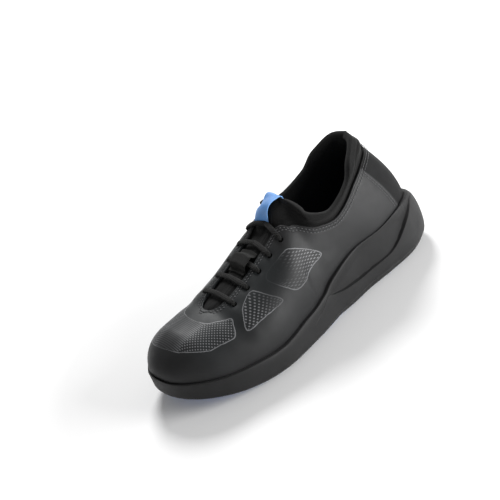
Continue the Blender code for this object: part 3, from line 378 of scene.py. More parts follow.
    def find_normals(self):
        g = self.grid
        normal = np.cross(np.gradient(g, axis=1), np.roll(g, -1, axis=0) - np.roll(g, 1, axis=0))
        normal /= np.maximum(np.linalg.norm(normal, axis=2, keepdims=True), 1e-12)
        for _ in range(NORMAL_ROUNDS * self.density**2):
            normal = np.roll(normal, 1, axis=0) + 2 * normal + np.roll(normal, -1, axis=0)
            normal /= np.maximum(np.linalg.norm(normal, axis=2, keepdims=True), 1e-12)
        mixed_rows = max(4, self.samples // 24)
        root = self.labels["toe_root"]
        root_tall = normal[root, -3] + normal[self.pair[root], -3]
        for i in range(self.labels["tongue"], self.toe + 1):
            j = self.pair[i]
            tall = root_tall.copy() if i > root else normal[i, -3] + normal[j, -3]
            tall[0] = 0
            tall /= np.linalg.norm(tall)
            for c in (i, j):
                for back in range(1, mixed_rows):
                    share = smooth((back - 1) / mixed_rows)
                    mixed = tall * (1 - share) + normal[c, -mixed_rows] * share
                    normal[c, -back] = mixed / np.linalg.norm(mixed)
        return normal

    def at_shares(self, shares, offset=0.0, columns=None):
        """Points at shares (columns x rows) of each column's length, pushed out along the last's normals."""
        shares = np.atleast_2d(shares)
        i = (np.arange(self.count) if columns is None else np.asarray(columns))[:, None]
        at = np.clip(shares, 0, 1) * self.samples
        low = np.minimum(np.floor(at).astype(int), self.samples - 1)
        f = (at - low)[..., None]
        place = self.grid[i, low] * (1 - f) + self.grid[i, low + 1] * f
        normal = self.normals[i, low] * (1 - f) + self.normals[i, low + 1] * f
        normal /= np.linalg.norm(normal, axis=-1, keepdims=True)
        return place + np.broadcast_to(offset, shares.shape)[..., None] * normal

    def point(self, i, share, offset=0.0):
        return self.at_shares([[share]], offset, [i])[0, 0]

    def share_at_height(self, height):
        """Share of each column where it first reaches a height."""
        found = np.zeros(self.count)
        for i in range(self.count):
            z = self.grid[i, :, 2]
            k = int(np.argmax(z >= height[i]))
            if k:
                found[i] = (k - 1 + (height[i] - z[k - 1]) / (z[k] - z[k - 1])) / self.samples
        return found

    def edge_shares(self):
        """Where the upper's throat or collar edge crosses each column. The throat's end is round."""
        start, end = self.labels["ball"], self.labels["vamp"]
        drop = self.drop.copy()
        for i in range(start, end + 1):
            t = (self.at[i] - self.at[start]) / (self.at[end] - self.at[start])
            value = self.drop[start] * math.sqrt(max(0.0, 1 - t**THROAT_END_POWER))
            drop[i] = value
            drop[self.pair[i]] = value
        return 1 - drop / self.length

    def beside_ridge(self, y, side, away, offset=0.0):
        """A point so far down the lateral (1) or medial (-1) side from the ridge, abreast of it at y."""
        columns = np.arange(self.labels["tongue"], self.labels["toe_root"] + 1)
        ridge_y = self.grid[columns, -1, 1]
        k = int(np.clip(np.searchsorted(-ridge_y, -y) - 1, 0, len(columns) - 2))
        f = (ridge_y[k] - y) / (ridge_y[k] - ridge_y[k + 1])
        ends = []
        for c in (columns[k], columns[k + 1]):
            i = c if side > 0 else int(self.pair[c])
            ends.append(self.point(i, 1 - away / self.length[i], offset))
        return ends[0] * (1 - f) + ends[1] * f


# Mesh helpers

def add_piece(name, verts, faces, material, node=None, weld=1e-6):
    mesh = bpy.data.meshes.new(name)
    mesh.from_pydata([tuple(v) for v in verts], [], [tuple(int(i) for i in f) for f in faces])
    bm = bmesh.new()
    bm.from_mesh(mesh)
    bmesh.ops.remove_doubles(bm, verts=bm.verts, dist=weld)
    bmesh.ops.dissolve_degenerate(bm, edges=bm.edges, dist=1e-7)
    bmesh.ops.delete(bm, geom=[v for v in bm.verts if not v.link_faces], context="VERTS")
    bmesh.ops.recalc_face_normals(bm, faces=bm.faces)
    bm.to_mesh(mesh)
    bm.free()
    mesh.materials.append(material)
    made = bpy.data.objects.new(name, mesh)
    bpy.context.scene.collection.objects.link(made)
    shade_smooth(made)
    if node:
        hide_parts(node)
    return made


def shade_smooth(obj, sharp_above=None):
    """Rounds the shading, with edges sharper than an angle in degrees left crisp."""
    obj.data.polygons.foreach_set("use_smooth", [True] * len(obj.data.polygons))
    if sharp_above:
        obj.data.set_sharp_from_angle(angle=math.radians(sharp_above))


def strip_faces(first, second):
    """Quads between two rings of vertex numbers."""
    count = len(first)
    return [(first[k], first[(k + 1) % count], second[(k + 1) % count], second[k]) for k in range(count)]


def rings_faces(count, sides, start=0):
    """Faces of a closed tube: rings of vertices in turn, with a face on both ends."""
    rings = [list(range(start + k * sides, start + (k + 1) * sides)) for k in range(count)]
    faces = []
    for first, second in zip(rings, rings[1:]):
        faces += strip_faces(first, second)
    return faces + [tuple(rings[0][::-1]), tuple(rings[-1])]


def loop_faces(last, rows, closed_rows):
    """Faces between the rows of points round the last, and flat across it at the closed rows."""
    index = np.arange(last.count * rows).reshape(last.count, rows)
    faces = []
    for r in range(rows - 1):
        faces += strip_faces(list(index[:, r]), list(index[:, r + 1]))
    for r in closed_rows:
        for i in range(last.toe):
            corners = [index[i, r], index[i + 1, r], index[last.pair[i + 1], r], index[last.pair[i], r]]
            faces.append(tuple(v for k, v in enumerate(corners) if v not in corners[:k]))
    return faces


def cut_away(obj, other):
    modifier = obj.modifiers.new("difference", "BOOLEAN")
    modifier.operation = "DIFFERENCE"
    modifier.solver = "EXACT"
    modifier.object = other
    graph = bpy.context.evaluated_depsgraph_get()
    mesh = bpy.data.meshes.new_from_object(obj.evaluated_get(graph))
    obj.modifiers.clear()
    obj.data = mesh
    bpy.data.objects.remove(other)


def plain_object(name, verts, faces):
    mesh = bpy.data.meshes.new(name)
    mesh.from_pydata([tuple(v) for v in verts], [], faces)
    bm = bmesh.new()
    bm.from_mesh(mesh)
    bmesh.ops.recalc_face_normals(bm, faces=bm.faces)
    bm.to_mesh(mesh)
    bm.free()
    made = bpy.data.objects.new(name, mesh)
    bpy.context.scene.collection.objects.link(made)
    return made


def prism_object(name, outline, low, high, follow=False):
    """An upright prism from an outline in plan. With follow, both ends lift with the sole's underside."""
    count = len(outline)
    lift = [float(sole_rise(y)) if follow else 0.0 for _, y in outline]
    verts = [(x, y, low + h) for (x, y), h in zip(outline, lift)]
    verts += [(x, y, high + h) for (x, y), h in zip(outline, lift)]
    faces = [tuple(range(count))[::-1], tuple(range(count, 2 * count))]
    faces += [(k, (k + 1) % count, count + (k + 1) % count, count + k) for k in range(count)]
    return plain_object(name, verts, faces)


def waves(places, scale, seed, octaves=3):
    """Soft repeatable unevenness at points, about -1 to 1: sums of sine waves in random directions."""
    local = np.random.default_rng(seed)
    total = np.zeros(len(places))
    for octave in range(octaves):
        for _ in range(5):
            way = local.normal(size=3)
            way /= np.linalg.norm(way)
            size = scale / 1.9**octave
            phase = local.uniform(0, 2 * math.pi)
            total += np.sin(places @ way * 2 * math.pi / size + phase) * 0.5**octave
    return total / 4.0


# Materials

class Nodes:
    """Short names for building a material's nodes."""

    def __init__(self, name):
        self.material = bpy.data.materials.new(name)
        self.material.use_nodes = True
        self.tree = self.material.node_tree
        self.shader = self.tree.nodes["Principled BSDF"]
        self.object_space = self.node("ShaderNodeTexCoord").outputs["Object"]
        self.relief = None

    def node(self, kind, inputs=None, **settings):
        made = self.tree.nodes.new(kind)
        for key, value in settings.items():
            setattr(made, key, value)
        for key, value in (inputs or {}).items():
            self.put(made.inputs[key], value)
        return made

    def put(self, socket, value):
        if isinstance(value, bpy.types.NodeSocket):
            self.tree.links.new(value, socket)
        else:
            socket.default_value = value

    def noise(self, scale, detail=3.0, roughness=0.55):
        found = self.node("ShaderNodeTexNoise", {"Scale": scale, "Detail": detail, "Roughness": roughness})
        self.put(found.inputs["Vector"], self.object_space)
        return found.outputs["Fac"]

    def voronoi(self, scale):
        found = self.node("ShaderNodeTexVoronoi", {"Scale": scale})
        self.put(found.inputs["Vector"], self.object_space)
        return found.outputs["Distance"]

    def wave(self, scale, direction):
        found = self.node("ShaderNodeTexWave", {"Scale": scale}, bands_direction=direction)
        self.put(found.inputs["Vector"], self.object_space)
        return found.outputs["Fac"]

    def math(self, operation, a, b=0.0):
        found = self.node("ShaderNodeMath", operation=operation)
        for socket, value in zip(found.inputs, (a, b)):
            self.put(socket, value)
        return found.outputs[0]

    def times(self, a, b):
        return self.math("MULTIPLY", a, b)

    def plus(self, a, b):
        return self.math("ADD", a, b)

    def minus(self, a, b):
        return self.math("SUBTRACT", a, b)

    def sine(self, value, turns):
        return self.math("SINE", self.times(value, 2 * math.pi * turns))

    def from_middle(self, value):
        """Place within each unit cell, -0.5 to 0.5."""
        return self.minus(self.math("FRACT", value), 0.5)

    def hypotenuse(self, a, b):
        return self.math("SQRT", self.plus(self.times(a, a), self.times(b, b)))

    def axes(self, vector):
        found = self.node("ShaderNodeSeparateXYZ", {"Vector": vector}).outputs
        return found["X"], found["Y"], found["Z"]

    def chart(self, name):
        return self.axes(self.node("ShaderNodeUVMap", uv_map=name).outputs["UV"])[:2]

    def ramp(self, value, low, high, start=0.0, end=1.0):
        found = self.node("ShaderNodeMapRange", {"Value": value, "From Min": low, "From Max": high})
        found.inputs["To Min"].default_value = start
        found.inputs["To Max"].default_value = end
        return found.outputs["Result"]

    def mix(self, share, first, second):
        found = self.node("ShaderNodeMix", data_type="RGBA")
        self.put(found.inputs["Factor"], share)
        for key, value in (("A", first), ("B", second)):
            socket = [s for s in found.inputs if s.name == key and s.type == "RGBA"][0]
            self.put(socket, (*value, 1) if isinstance(value, tuple) else value)
        return [s for s in found.outputs if s.type == "RGBA"][0]

    def bump(self, *layers):
        """Adds layers of (height, strength, distance) over those already there."""
        for height, strength, distance in layers:
            values = {"Strength": strength, "Distance": distance, "Height": height}
            found = self.node("ShaderNodeBump", values)
            if self.relief:
                self.put(found.inputs["Normal"], self.relief)
            self.relief = found.outputs["Normal"]
        self.put(self.shader.inputs["Normal"], self.relief)

    def attribute(self, name):
        return self.node("ShaderNodeAttribute", attribute_name=name).outputs["Fac"]

    def set(self, **values):
        for key, value in values.items():
            self.put(self.shader.inputs[key.replace("_", " ")], value)
        return self.material


def leather_material():
    """Smooth microfibre: fine grain, slight mottling, a print of pale outlines and fading dots, painted shade
    on the heel panel and a painted teal sheen near the throat.
    """
    m = Nodes("microfibre")
    grain = m.noise(1500, 4, 0.6)
    pores = m.voronoi(1900)
    mottle = m.noise(38, 4, 0.6)
    base = m.mix(m.ramp(mottle, 0.3, 0.7), (0.0120, 0.0122, 0.0127), (0.0170, 0.0173, 0.0179))
    edge = m.attribute("print_edge")
    fade = m.attribute("print_fade")
    tint = m.attribute("painted_throat_sheen")
    line_wobble = m.times(m.minus(m.noise(900, 2), 0.5), 0.0002)
    from_line = m.math("ABSOLUTE", m.minus(m.plus(edge, line_wobble), PRINT_LINE_AT))
    line = m.ramp(from_line, 0.00052, 0.00032)
    inside = m.ramp(edge, PRINT_LINE_AT + 0.0006, PRINT_LINE_AT + 0.0010)
    u, v = m.chart("print")
    shifted = m.plus(u, m.times(m.math("FLOORED_MODULO", m.math("FLOOR", v), 2.0), 0.5))
    across = m.times(m.from_middle(shifted), m.attribute("print_stretch"))
    dot = m.ramp(m.hypotenuse(across, m.from_middle(v)), 0.38, 0.24)
    dots = m.times(m.times(dot, inside), fade)
    lines = m.times(line, m.ramp(fade, 0.0, 0.5, 0.06, 1.0))
    printed = m.math("MAXIMUM", dots, lines)
    # Painted shade: the heel panel is the same leather as the quarter, darkened in colour where it faces away
    # from the light; its higher roughness is the panel's own matt finish.
    heel = m.attribute("heel_shade_and_matt")
    base = m.mix(m.times(heel, 0.85), base, (0.0055, 0.0055, 0.0057))
    # Painted sheen: the colour turns a darker, cooler teal near the throat and vamp.
    cooler = m.mix(m.times(tint, 0.5), base, (0.0080, 0.0120, 0.0135))
    m.set(Base_Color=m.mix(m.times(printed, 0.9), cooler, (0.150, 0.152, 0.158)))
    rough = m.ramp(m.noise(120, 3), 0.25, 0.75, 0.46, 0.56)
    rough = m.plus(rough, m.times(heel, 0.36))
    m.set(Roughness=m.minus(rough, m.times(printed, 0.16)))
    m.bump((grain, 0.25, 0.00018), (pores, 0.18, 0.00012), (printed, 0.5, 0.00012))
    m.bump((m.noise(260, 3), 0.2, 0.0002))
    m.set(Specular_IOR_Level=0.21, Sheen_Weight=0.02, Sheen_Roughness=0.45)
    m.shader.inputs["Sheen Tint"].default_value = (0.85, 0.87, 0.9, 1)
    return m.material


def foam_material():
    """Moulded foam: matt, with fine eroded texture, faint flow mottling and dustier low edge."""
    m = Nodes("sole_foam")
    fine = m.noise(2200, 3, 0.7)
    grit = m.voronoi(1300)
    mottle = m.noise(30, 5, 0.6)
    height = m.axes(m.object_space)[2]
    dust = m.times(m.ramp(height, 0.016, 0.001), m.ramp(m.noise(160, 4), 0.42, 0.75))
    base = m.mix(m.ramp(mottle, 0.3, 0.7), (0.0110, 0.0110, 0.0113), (0.0160, 0.0160, 0.0164))
    m.set(Base_Color=m.mix(m.times(dust, 0.25), base, (0.050, 0.048, 0.045)))
    m.set(Roughness=m.ramp(m.noise(90, 3), 0.25, 0.75, 0.50, 0.62))
    m.bump((fine, 0.35, 0.00022), (grit, 0.2, 0.00015), (m.noise(300, 3), 0.15, 0.0003))
    m.set(Specular_IOR_Level=0.21, Sheen_Weight=0.01, Sheen_Roughness=0.6)
    return m.material


def knit_material(name, dark, light, scale, rough, sheen):
    """Matt knitted cloth: two crossing sets of fine ribs with fuzz over them."""
    m = Nodes(name)
    warp, weft, fill = (m.wave(KNIT_RIBS * scale, direction) for direction in "XZY")
    cells = m.voronoi(1050 * scale)
    weave = m.times(m.plus(m.plus(warp, weft), fill), 0.333)
    fuzz = m.noise(2600, 3, 0.7)
    shade = m.plus(m.times(m.noise(45, 4), 0.6), m.times(cells, 0.5))
    m.set(Base_Color=m.mix(m.ramp(shade, 0.25, 0.85), dark, light))
    m.set(Roughness=m.ramp(fuzz, 0.2, 0.8, rough - 0.06, rough))
    m.bump((weave, 0.3, 0.0003), (cells, 0.45, 0.0003), (fuzz, 0.25, 0.0002))
    m.set(Specular_IOR_Level=0.18, Sheen_Weight=sheen, Sheen_Roughness=0.5)
    return m.material


def rubber_material(shift):
    """Blue tread rubber: a star-burst of fine raised ribs inside each lug, matt, scuffed by the floor."""
    m = Nodes("tread_rubber")
    x, y, _ = m.axes(m.object_space)
    cx = m.from_middle(m.math("DIVIDE", m.minus(x, NOTCH_INNER_X + shift[0]), LUG_PITCH))
    cy = m.from_middle(m.math("DIVIDE", y, LUG_PITCH))
    spokes = m.math("SINE", m.times(m.math("ARCTAN2", cy, cx), 16.0))
    broken = m.noise(1400, 3, 0.7)
    raised = m.ramp(m.hypotenuse(cx, cy), 0.04, 0.14)
    burst = m.times(m.plus(spokes, m.times(broken, 1.2)), raised)
    scuff = m.ramp(m.noise(110, 5, 0.65), 0.55, 0.75)
    base = m.mix(m.ramp(m.noise(60, 4), 0.3, 0.7), (0.022, 0.150, 0.530), (0.034, 0.190, 0.610))
    speckle = m.mix(m.times(m.ramp(burst, 0.2, 1.4), 0.35), base, (0.110, 0.330, 0.760))
    m.set(Base_Color=m.mix(m.times(scuff, 0.18), speckle, (0.150, 0.220, 0.380)))
    m.set(Roughness=m.ramp(broken, 0.3, 0.7, 0.52, 0.66))
    m.bump((burst, 0.5, 0.0004), (broken, 0.3, 0.0003))
    m.set(Specular_IOR_Level=0.4)
    return m.material


def plain_rubber_material():
    m = Nodes("plate_rubber")
    fine = m.noise(1500, 3, 0.65)
    base = m.mix(m.ramp(m.noise(70, 4), 0.3, 0.7), (0.030, 0.180, 0.560), (0.044, 0.225, 0.640))
    m.set(Base_Color=base, Roughness=m.ramp(fine, 0.3, 0.7, 0.42, 0.54))
    m.bump((fine, 0.25, 0.0002), (m.noise(160, 2), 0.2, 0.0003))
    m.set(Specular_IOR_Level=0.45)
    return m.material


def lace_material():
    """Braid: diagonal yarns crossing over the flat-oval cord."""
    m = Nodes("lace_braid")
    x, y = m.chart("braid")
    braid = m.math("MAXIMUM", m.sine(m.plus(x, y), 1), m.sine(m.minus(x, y), 1))
    fuzz = m.noise(2400, 3, 0.7)
    m.set(Base_Color=m.mix(m.ramp(braid, -0.4, 1.0), (0.0022, 0.0022, 0.0021), (0.0085, 0.0085, 0.0080)))
    m.set(Roughness=m.ramp(fuzz, 0.3, 0.7, 0.78, 0.9))
    m.bump((braid, 0.6, 0.0003), (fuzz, 0.3, 0.0002))
    m.set(Specular_IOR_Level=0.22, Sheen_Weight=0.04, Sheen_Roughness=0.5)
    return m.material


def ribbon_material():
    """Satin ribbon: fine ribs across its length and a slight sheen."""
    m = Nodes("satin_ribbon")
    x, y = m.chart("ribbon")
    ribs, warp = m.sine(y, 1 / 0.00045), m.sine(x, 1 / 0.0004)
    edge = m.ramp(m.math("ABSOLUTE", x), TAB_WIDTH * 0.40, TAB_WIDTH * 0.46)
    base = m.mix(m.ramp(m.noise(90, 3), 0.3, 0.7), (0.062, 0.240, 0.600), (0.078, 0.265, 0.650))
    m.set(Base_Color=m.mix(m.times(edge, 0.35), base, (0.300, 0.500, 0.800)))
    m.set(Roughness=m.ramp(m.noise(400, 2), 0.3, 0.7, 0.40, 0.52))
    m.bump((ribs, 0.35, 0.00012), (warp, 0.2, 0.0001))
    m.set(Specular_IOR_Level=0.45, Sheen_Weight=0.2, Sheen_Roughness=0.35)
    return m.material


def thread_material():
    m = Nodes("thread")
    twist = m.wave(900, "DIAGONAL")
    m.set(Base_Color=m.mix(twist, (0.045, 0.045, 0.047), (0.100, 0.100, 0.104)))
    m.set(Roughness=m.ramp(m.noise(900, 2), 0.3, 0.7, 0.5, 0.65))
    m.bump((twist, 0.4, 0.0001))
    m.set(Specular_IOR_Level=0.4)
    return m.material


# Stitches

def stitch_row(places, talls, pitch=0.0030, length=0.0023, width=0.00062, height=0.00042):
    """Small rounded threads laid along a line, each dipping at its ends, as vertices and faces."""
    run = run_along(places)
    count = max(1, int(run[-1] / pitch))
    verts, faces = [], []
    stations = (-0.5, -0.30, 0.0, 0.30, 0.5)
    girth = (0.35, 0.85, 1.0, 0.85, 0.35)
    lift = (-0.9, 0.25, 0.55, 0.25, -0.9)
    for s in range(count):
        mid = (s + 0.5) * run[-1] / count
        base = len(verts)
        for at, thick, up in zip(stations, girth, lift):
            d = np.clip(mid + at * length, 0, run[-1])
            near = np.array([d, min(d + 0.0005, run[-1]), max(d - 0.0005, 0)])
            place, ahead, behind = along_line(straight, run, places, near)
            tall = along_line(straight, run, talls, d)
            tall /= np.linalg.norm(tall)
            way = (ahead - behind) / np.linalg.norm(ahead - behind)
            across = np.cross(tall, way)
            for k in range(6):
                turn = 2 * math.pi * k / 6
                verts.append(
                    place
                    + tall * (up * height + math.sin(turn) * thick * height / 2 * 1.3)
                    + across * math.cos(turn) * thick * width / 2
                )
        faces += rings_faces(len(stations), 6, base)
    return verts, faces


def edge_stitch_rows(last, edge):
    """Lines on the upper at distances below its throat and collar edge, round the throat's end."""
    front = last.labels["vamp"]
    rows = []
    columns = list(range(front, -1, -1)) + [int(last.pair[i]) for i in range(1, front + 1)]
    talls_all = np.array([last.normals[i, int(edge[i] * last.samples)] for i in [front] + columns + [front]])
    for distance in EDGE_STITCH_LINES:
        line = [last.point(i, edge[i] - distance / last.length[i], STITCH_LIFT) for i in columns]
        end = last.grid[front, -1] + np.array([0, -distance, STITCH_LIFT])
        places = np.array([end] + line + [end])
        kept = (places[:, 1] > end[1] + STITCH_TURN) | (np.arange(len(places)) % (len(places) - 1) == 0)
        places, talls = places[kept], talls_all[kept]
        looped = np.concatenate([places[-3:-1], places, places[1:3]])
        run = run_along(looped) + 1e-9 * np.arange(len(looped))
        at = np.linspace(run[2], run[-3], 900)
        rows.append((along_line(spline, run, looped, at), along_line(straight, run[2:-2], talls, at)))
    return rows


def seam_stitch_rows(last, edge, rim_share):
    """Lines on the quarter in front of its rear edge, from the collar down to the sole's rim."""
    rows = []
    seam = last.labels["counter"]
    for side in (1, -1):
        for distance in SEAM_STITCH_LINES:
            k = int(np.searchsorted(last.at, last.at[seam] + distance))
            f = (last.at[seam] + distance - last.at[k - 1]) / (last.at[k] - last.at[k - 1])
            columns = (k - 1, k) if side > 0 else (int(last.pair[k - 1]), int(last.pair[k]))
            places, talls = [], []
            for t in np.linspace(0, 1, 40):
                ends, ways = [], []
                for i in columns:
                    low, high = rim_share[i] + 0.001 / last.length[i], edge[i] - 0.0056 / last.length[i]
                    share = low + (high - low) * t
                    ends.append(last.point(i, share, STITCH_LIFT))
                    ways.append(last.point(i, share, STITCH_LIFT + MILLIMETRE) - ends[-1])
                places.append(ends[0] * (1 - f) + ends[1] * f)
                talls.append(ways[0] * (1 - f) + ways[1] * f)
            rows.append((places, talls))
    return rows


def add_stitches(name, rows, material):
    verts, faces = [], []
    for places, talls in rows:
        row_verts, row_faces = stitch_row(np.array(places), np.array(talls))
        faces += [tuple(i + len(verts) for i in f) for f in row_faces]
        verts += row_verts
    return add_piece(name, verts, faces, material, weld=1e-9)


# The upper

# Corners of the printed panels in millimetres: (y, z) on the sides, (x, y) on the toe
PRINT_PANELS = {
    "midfoot": [
        (-35, 67), (-32, 62), (-27, 57), (-22, 52.5), (-15, 52), (0, 56), (15, 59), (13.5, 64), (2, 73),
        (-7, 78),
        (-12, 77.5), (-20, 74.5), (-29, 71),
    ],
    "forefoot": [
        (-50, 63.5), (-47, 63), (-43, 59.5), (-37, 54), (-37, 51), (-48, 49.6), (-60, 48), (-71, 46.2),
        (-72.5, 48),
        (-69, 53), (-64, 57.5), (-57, 61),
    ],
    "toe": [
        (28, -75), (33, -77.5), (38, -81), (39.5, -85), (37, -94), (34, -104), (28, -112), (17.5, -120.5),
        (8, -124), (-6, -126), (-20, -124.5), (-31, -116), (-37, -104), (-41, -92), (-42, -84), (-38, -79),
        (-30, -75), (-18, -90), (0, -94), (15, -91), (22, -83),
    ],
}
PRINT_LINE_AT = 0.005
# Dot pitch along the panel's two axes, and how much narrower than its pitch a dot is
PRINT_DOTS = {
    "midfoot": (0.0058, 0.0013, 1.5),
    "forefoot": (0.0034, 0.0014, 1.6),
    "toe": (0.0029, 0.0015, 1.8),
}
PRINT_LOWEST = 0.040
SIDE_PANELS_BEYOND = 0.015
MILLIMETRE = 0.001


def rounded_outline(corners, steps=12):
    """A closed Catmull-Rom curve through the corners, with its inward normals."""
    p = np.array(corners, float) * MILLIMETRE
    points = []
    for k in range(len(p)):
        a, b, c, d = p[k - 1], p[k], p[(k + 1) % len(p)], p[(k + 2) % len(p)]
        for t in np.arange(steps) / steps:
            bend = (2 * a - 5 * b + 4 * c - d) * t**2 + (3 * b - a - 3 * c + d) * t**3
            points.append(0.5 * (2 * b + (c - a) * t + bend))
    points = np.array(points)
    way = np.roll(points, -1, axis=0) - np.roll(points, 1, axis=0)
    way /= np.linalg.norm(way, axis=1, keepdims=True)
    return points, np.stack([-way[:, 1], way[:, 0]], -1)


def inside_outline(places, outline):
    inside = np.zeros(len(places), bool)
    for a, b in zip(outline, np.roll(outline, -1, axis=0)):
        crosses = (a[1] > places[:, 1]) != (b[1] > places[:, 1])
        at = a[0] + (places[:, 1] - a[1]) * (b[0] - a[0]) / (b[1] - a[1] + 1e-12)
        inside ^= crosses & (places[:, 0] < at)
    return inside


def panel_distance(places, normals, axes, corners):
    """Distance inside a panel's outline along the surface, negative outside it."""
    outline, across = rounded_outline(corners)
    flat = places[:, axes]
    away = np.linalg.norm(flat[:, None] - outline[None], axis=2)
    nearest = away.argmin(axis=1)
    direction = np.zeros((len(places), 3))
    direction[:, axes] = across[nearest]
    lean = np.sum(direction * normals, axis=1, keepdims=True)
    gradient = np.linalg.norm(direction - lean * normals, axis=1)
    reach = away.min(axis=1) / np.maximum(gradient, 0.3)
    return np.where(inside_outline(flat, outline), reach, -reach)


def print_upper(upper, last):
    """Attributes of the upper: its print's distance to the nearest panel line, fades and dot chart, a painted
    teal sheen near the throat, and the heel panel's painted shade and matt finish.
    """
    mesh = upper.data
    count = len(mesh.vertices)
    places, normals = np.zeros(count * 3), np.zeros(count * 3)
    mesh.vertices.foreach_get("co", places)
    mesh.vertices.foreach_get("normal", normals)
    places, normals = places.reshape(-1, 3), normals.reshape(-1, 3)
    edge, fade = np.full(count, -PRINT_LINE_AT), np.zeros(count)
    stretch, chart = np.ones(count), np.zeros((count, 2))
    across, along = np.abs(places[:, 0]), y_to_along(places[:, 1])
    for name, corners in PRINT_PANELS.items():
        on_toe = name == "toe"
        axes = [0, 1] if on_toe else [1, 2]
        low = np.min(corners, axis=0) * MILLIMETRE - PRINT_LINE_AT
        high = np.max(corners, axis=0) * MILLIMETRE + PRINT_LINE_AT
        flat = places[:, axes]
        near = np.all((flat > low) & (flat < high), axis=1) & (places[:, 2] > PRINT_LOWEST)
        if not on_toe:
            near &= across > SIDE_PANELS_BEYOND
        numbers = np.nonzero(near)[0]
        found = panel_distance(places[numbers], normals[numbers], axes, corners)
        better = found > edge[numbers]
        numbers, found = numbers[better], found[better]
        edge[numbers] = found
        aside, y = across[numbers], places[numbers, 1]
        if name == "midfoot":
            corner = 0.3 * smooth((0.064 - places[numbers, 2]) / 0.008)
            fade[numbers] = np.maximum(smooth((y + 0.022) / 0.030), corner)
            dots = smooth((y + 0.034) / 0.014)
        elif name == "forefoot":
            fade[numbers] = 0.15 + 0.85 * smooth((-0.040 - y) / 0.020)
            dots = smooth((-0.034 - y) / 0.010)
        else:
            fade[numbers] = 0.20 + 0.80 * smooth((aside - 0.006) / 0.016)
            dots = smooth((aside - 0.010) / 0.012)
        *pitch, narrowness = PRINT_DOTS[name]
        chart[numbers] = places[numbers][:, axes] / pitch
        stretch[numbers] = narrowness * dots
    # The heel panel behind the seam gets painted shade in its colour and a matt finish.
    seam = last.grid[last.labels["counter"]]
    seam_y = np.interp(places[:, 2], seam[:, 2], seam[:, 1])
    # Painted sheen: a teal sheen near the throat, fading away from the ridge, behind the throat and at the
    # toe.
    tint = smooth((0.052 - across) / 0.030) * smooth((along - 0.52) / 0.08) * smooth((0.93 - along) / 0.10)
    values = {
        "print_edge": np.clip(PRINT_LINE_AT + edge, 0, 2 * PRINT_LINE_AT),
        "print_fade": fade,
        "painted_throat_sheen": tint,
        "print_stretch": stretch,
        "heel_shade_and_matt": smooth((places[:, 1] - seam_y) / 0.0008 + 0.5),
    }
    for name, value in values.items():
        mesh.attributes.new(name, "FLOAT", "POINT").data.foreach_set("value", value.astype(np.float32))
    corner_vertices = np.zeros(len(mesh.loops), np.int32)
    mesh.loops.foreach_get("vertex_index", corner_vertices)
    flat_chart = chart[corner_vertices].astype(np.float32).ravel()
    mesh.uv_layers.new(name="print").data.foreach_set("uv", flat_chart)


def lace_rows():
    first, final = (along_to_y(along) for along in LACE_SPAN)
    return [first + (final - first) * k / (LACE_ROWS - 1) for k in range(LACE_ROWS)]


def eyelet_away(y):
    rows = lace_rows()
    share = (y - rows[0]) / (rows[-1] - rows[0])
    return EYELET_AWAY + EYELET_SPREAD * max(0.0, 2 * share - 1) ** 2


def seam_steps(last):
    low = np.minimum(np.arange(last.count), last.pair)
    return np.where(low < last.labels["counter"], SEAM_STEP, 0.0)


def upper_relief(last, shares, edge, places):
    """Height of the outer face over the last: troughs of seams, the stiff toe's rear edge, eyelet dimples."""
    from_edge = (edge[:, None] - shares) * last.length[:, None]
    opening = (last.drop > 0.0004)[:, None]
    relief = np.zeros(shares.shape)
    for line in EDGE_STITCH_LINES:
        relief -= 0.00022 * np.exp(-(((from_edge - line) / 0.0007) ** 2)) * opening
    relief += 0.00035 * np.exp(-((from_edge / 0.0022) ** 2)) * opening
    along = y_to_along(places[..., 1])
    over = smooth((places[..., 2] - 0.030) / 0.02)
    relief -= 0.0007 * np.exp(-(((along - 0.770) / 0.022) ** 2)) * over
    relief += 0.0003 * np.exp(-(((along - 0.735) / 0.016) ** 2)) * over
    station = last.at[:, None] + 0 * shares
    seam_at = last.at[last.labels["counter"]]
    seam_back = last.period - seam_at
    behind = np.minimum(np.abs(station - seam_at), np.abs(station - seam_back))
    on_quarter = (np.minimum(np.arange(last.count), last.pair) >= last.labels["counter"])[:, None]
    for line in SEAM_STITCH_LINES:
        relief -= 0.00020 * np.exp(-(((behind - line) / 0.0007) ** 2)) * on_quarter
    relief += 0.00018 * waves(places.reshape(-1, 3), 0.055, 3, 2).reshape(shares.shape)
    for y in lace_rows():
        for side in (1, -1):
            hole = last.beside_ridge(y, side, eyelet_away(y))
            away = np.linalg.norm(places - hole, axis=-1)
            relief -= 0.0005 * np.exp(-((away / 0.0036) ** 2))
    return relief


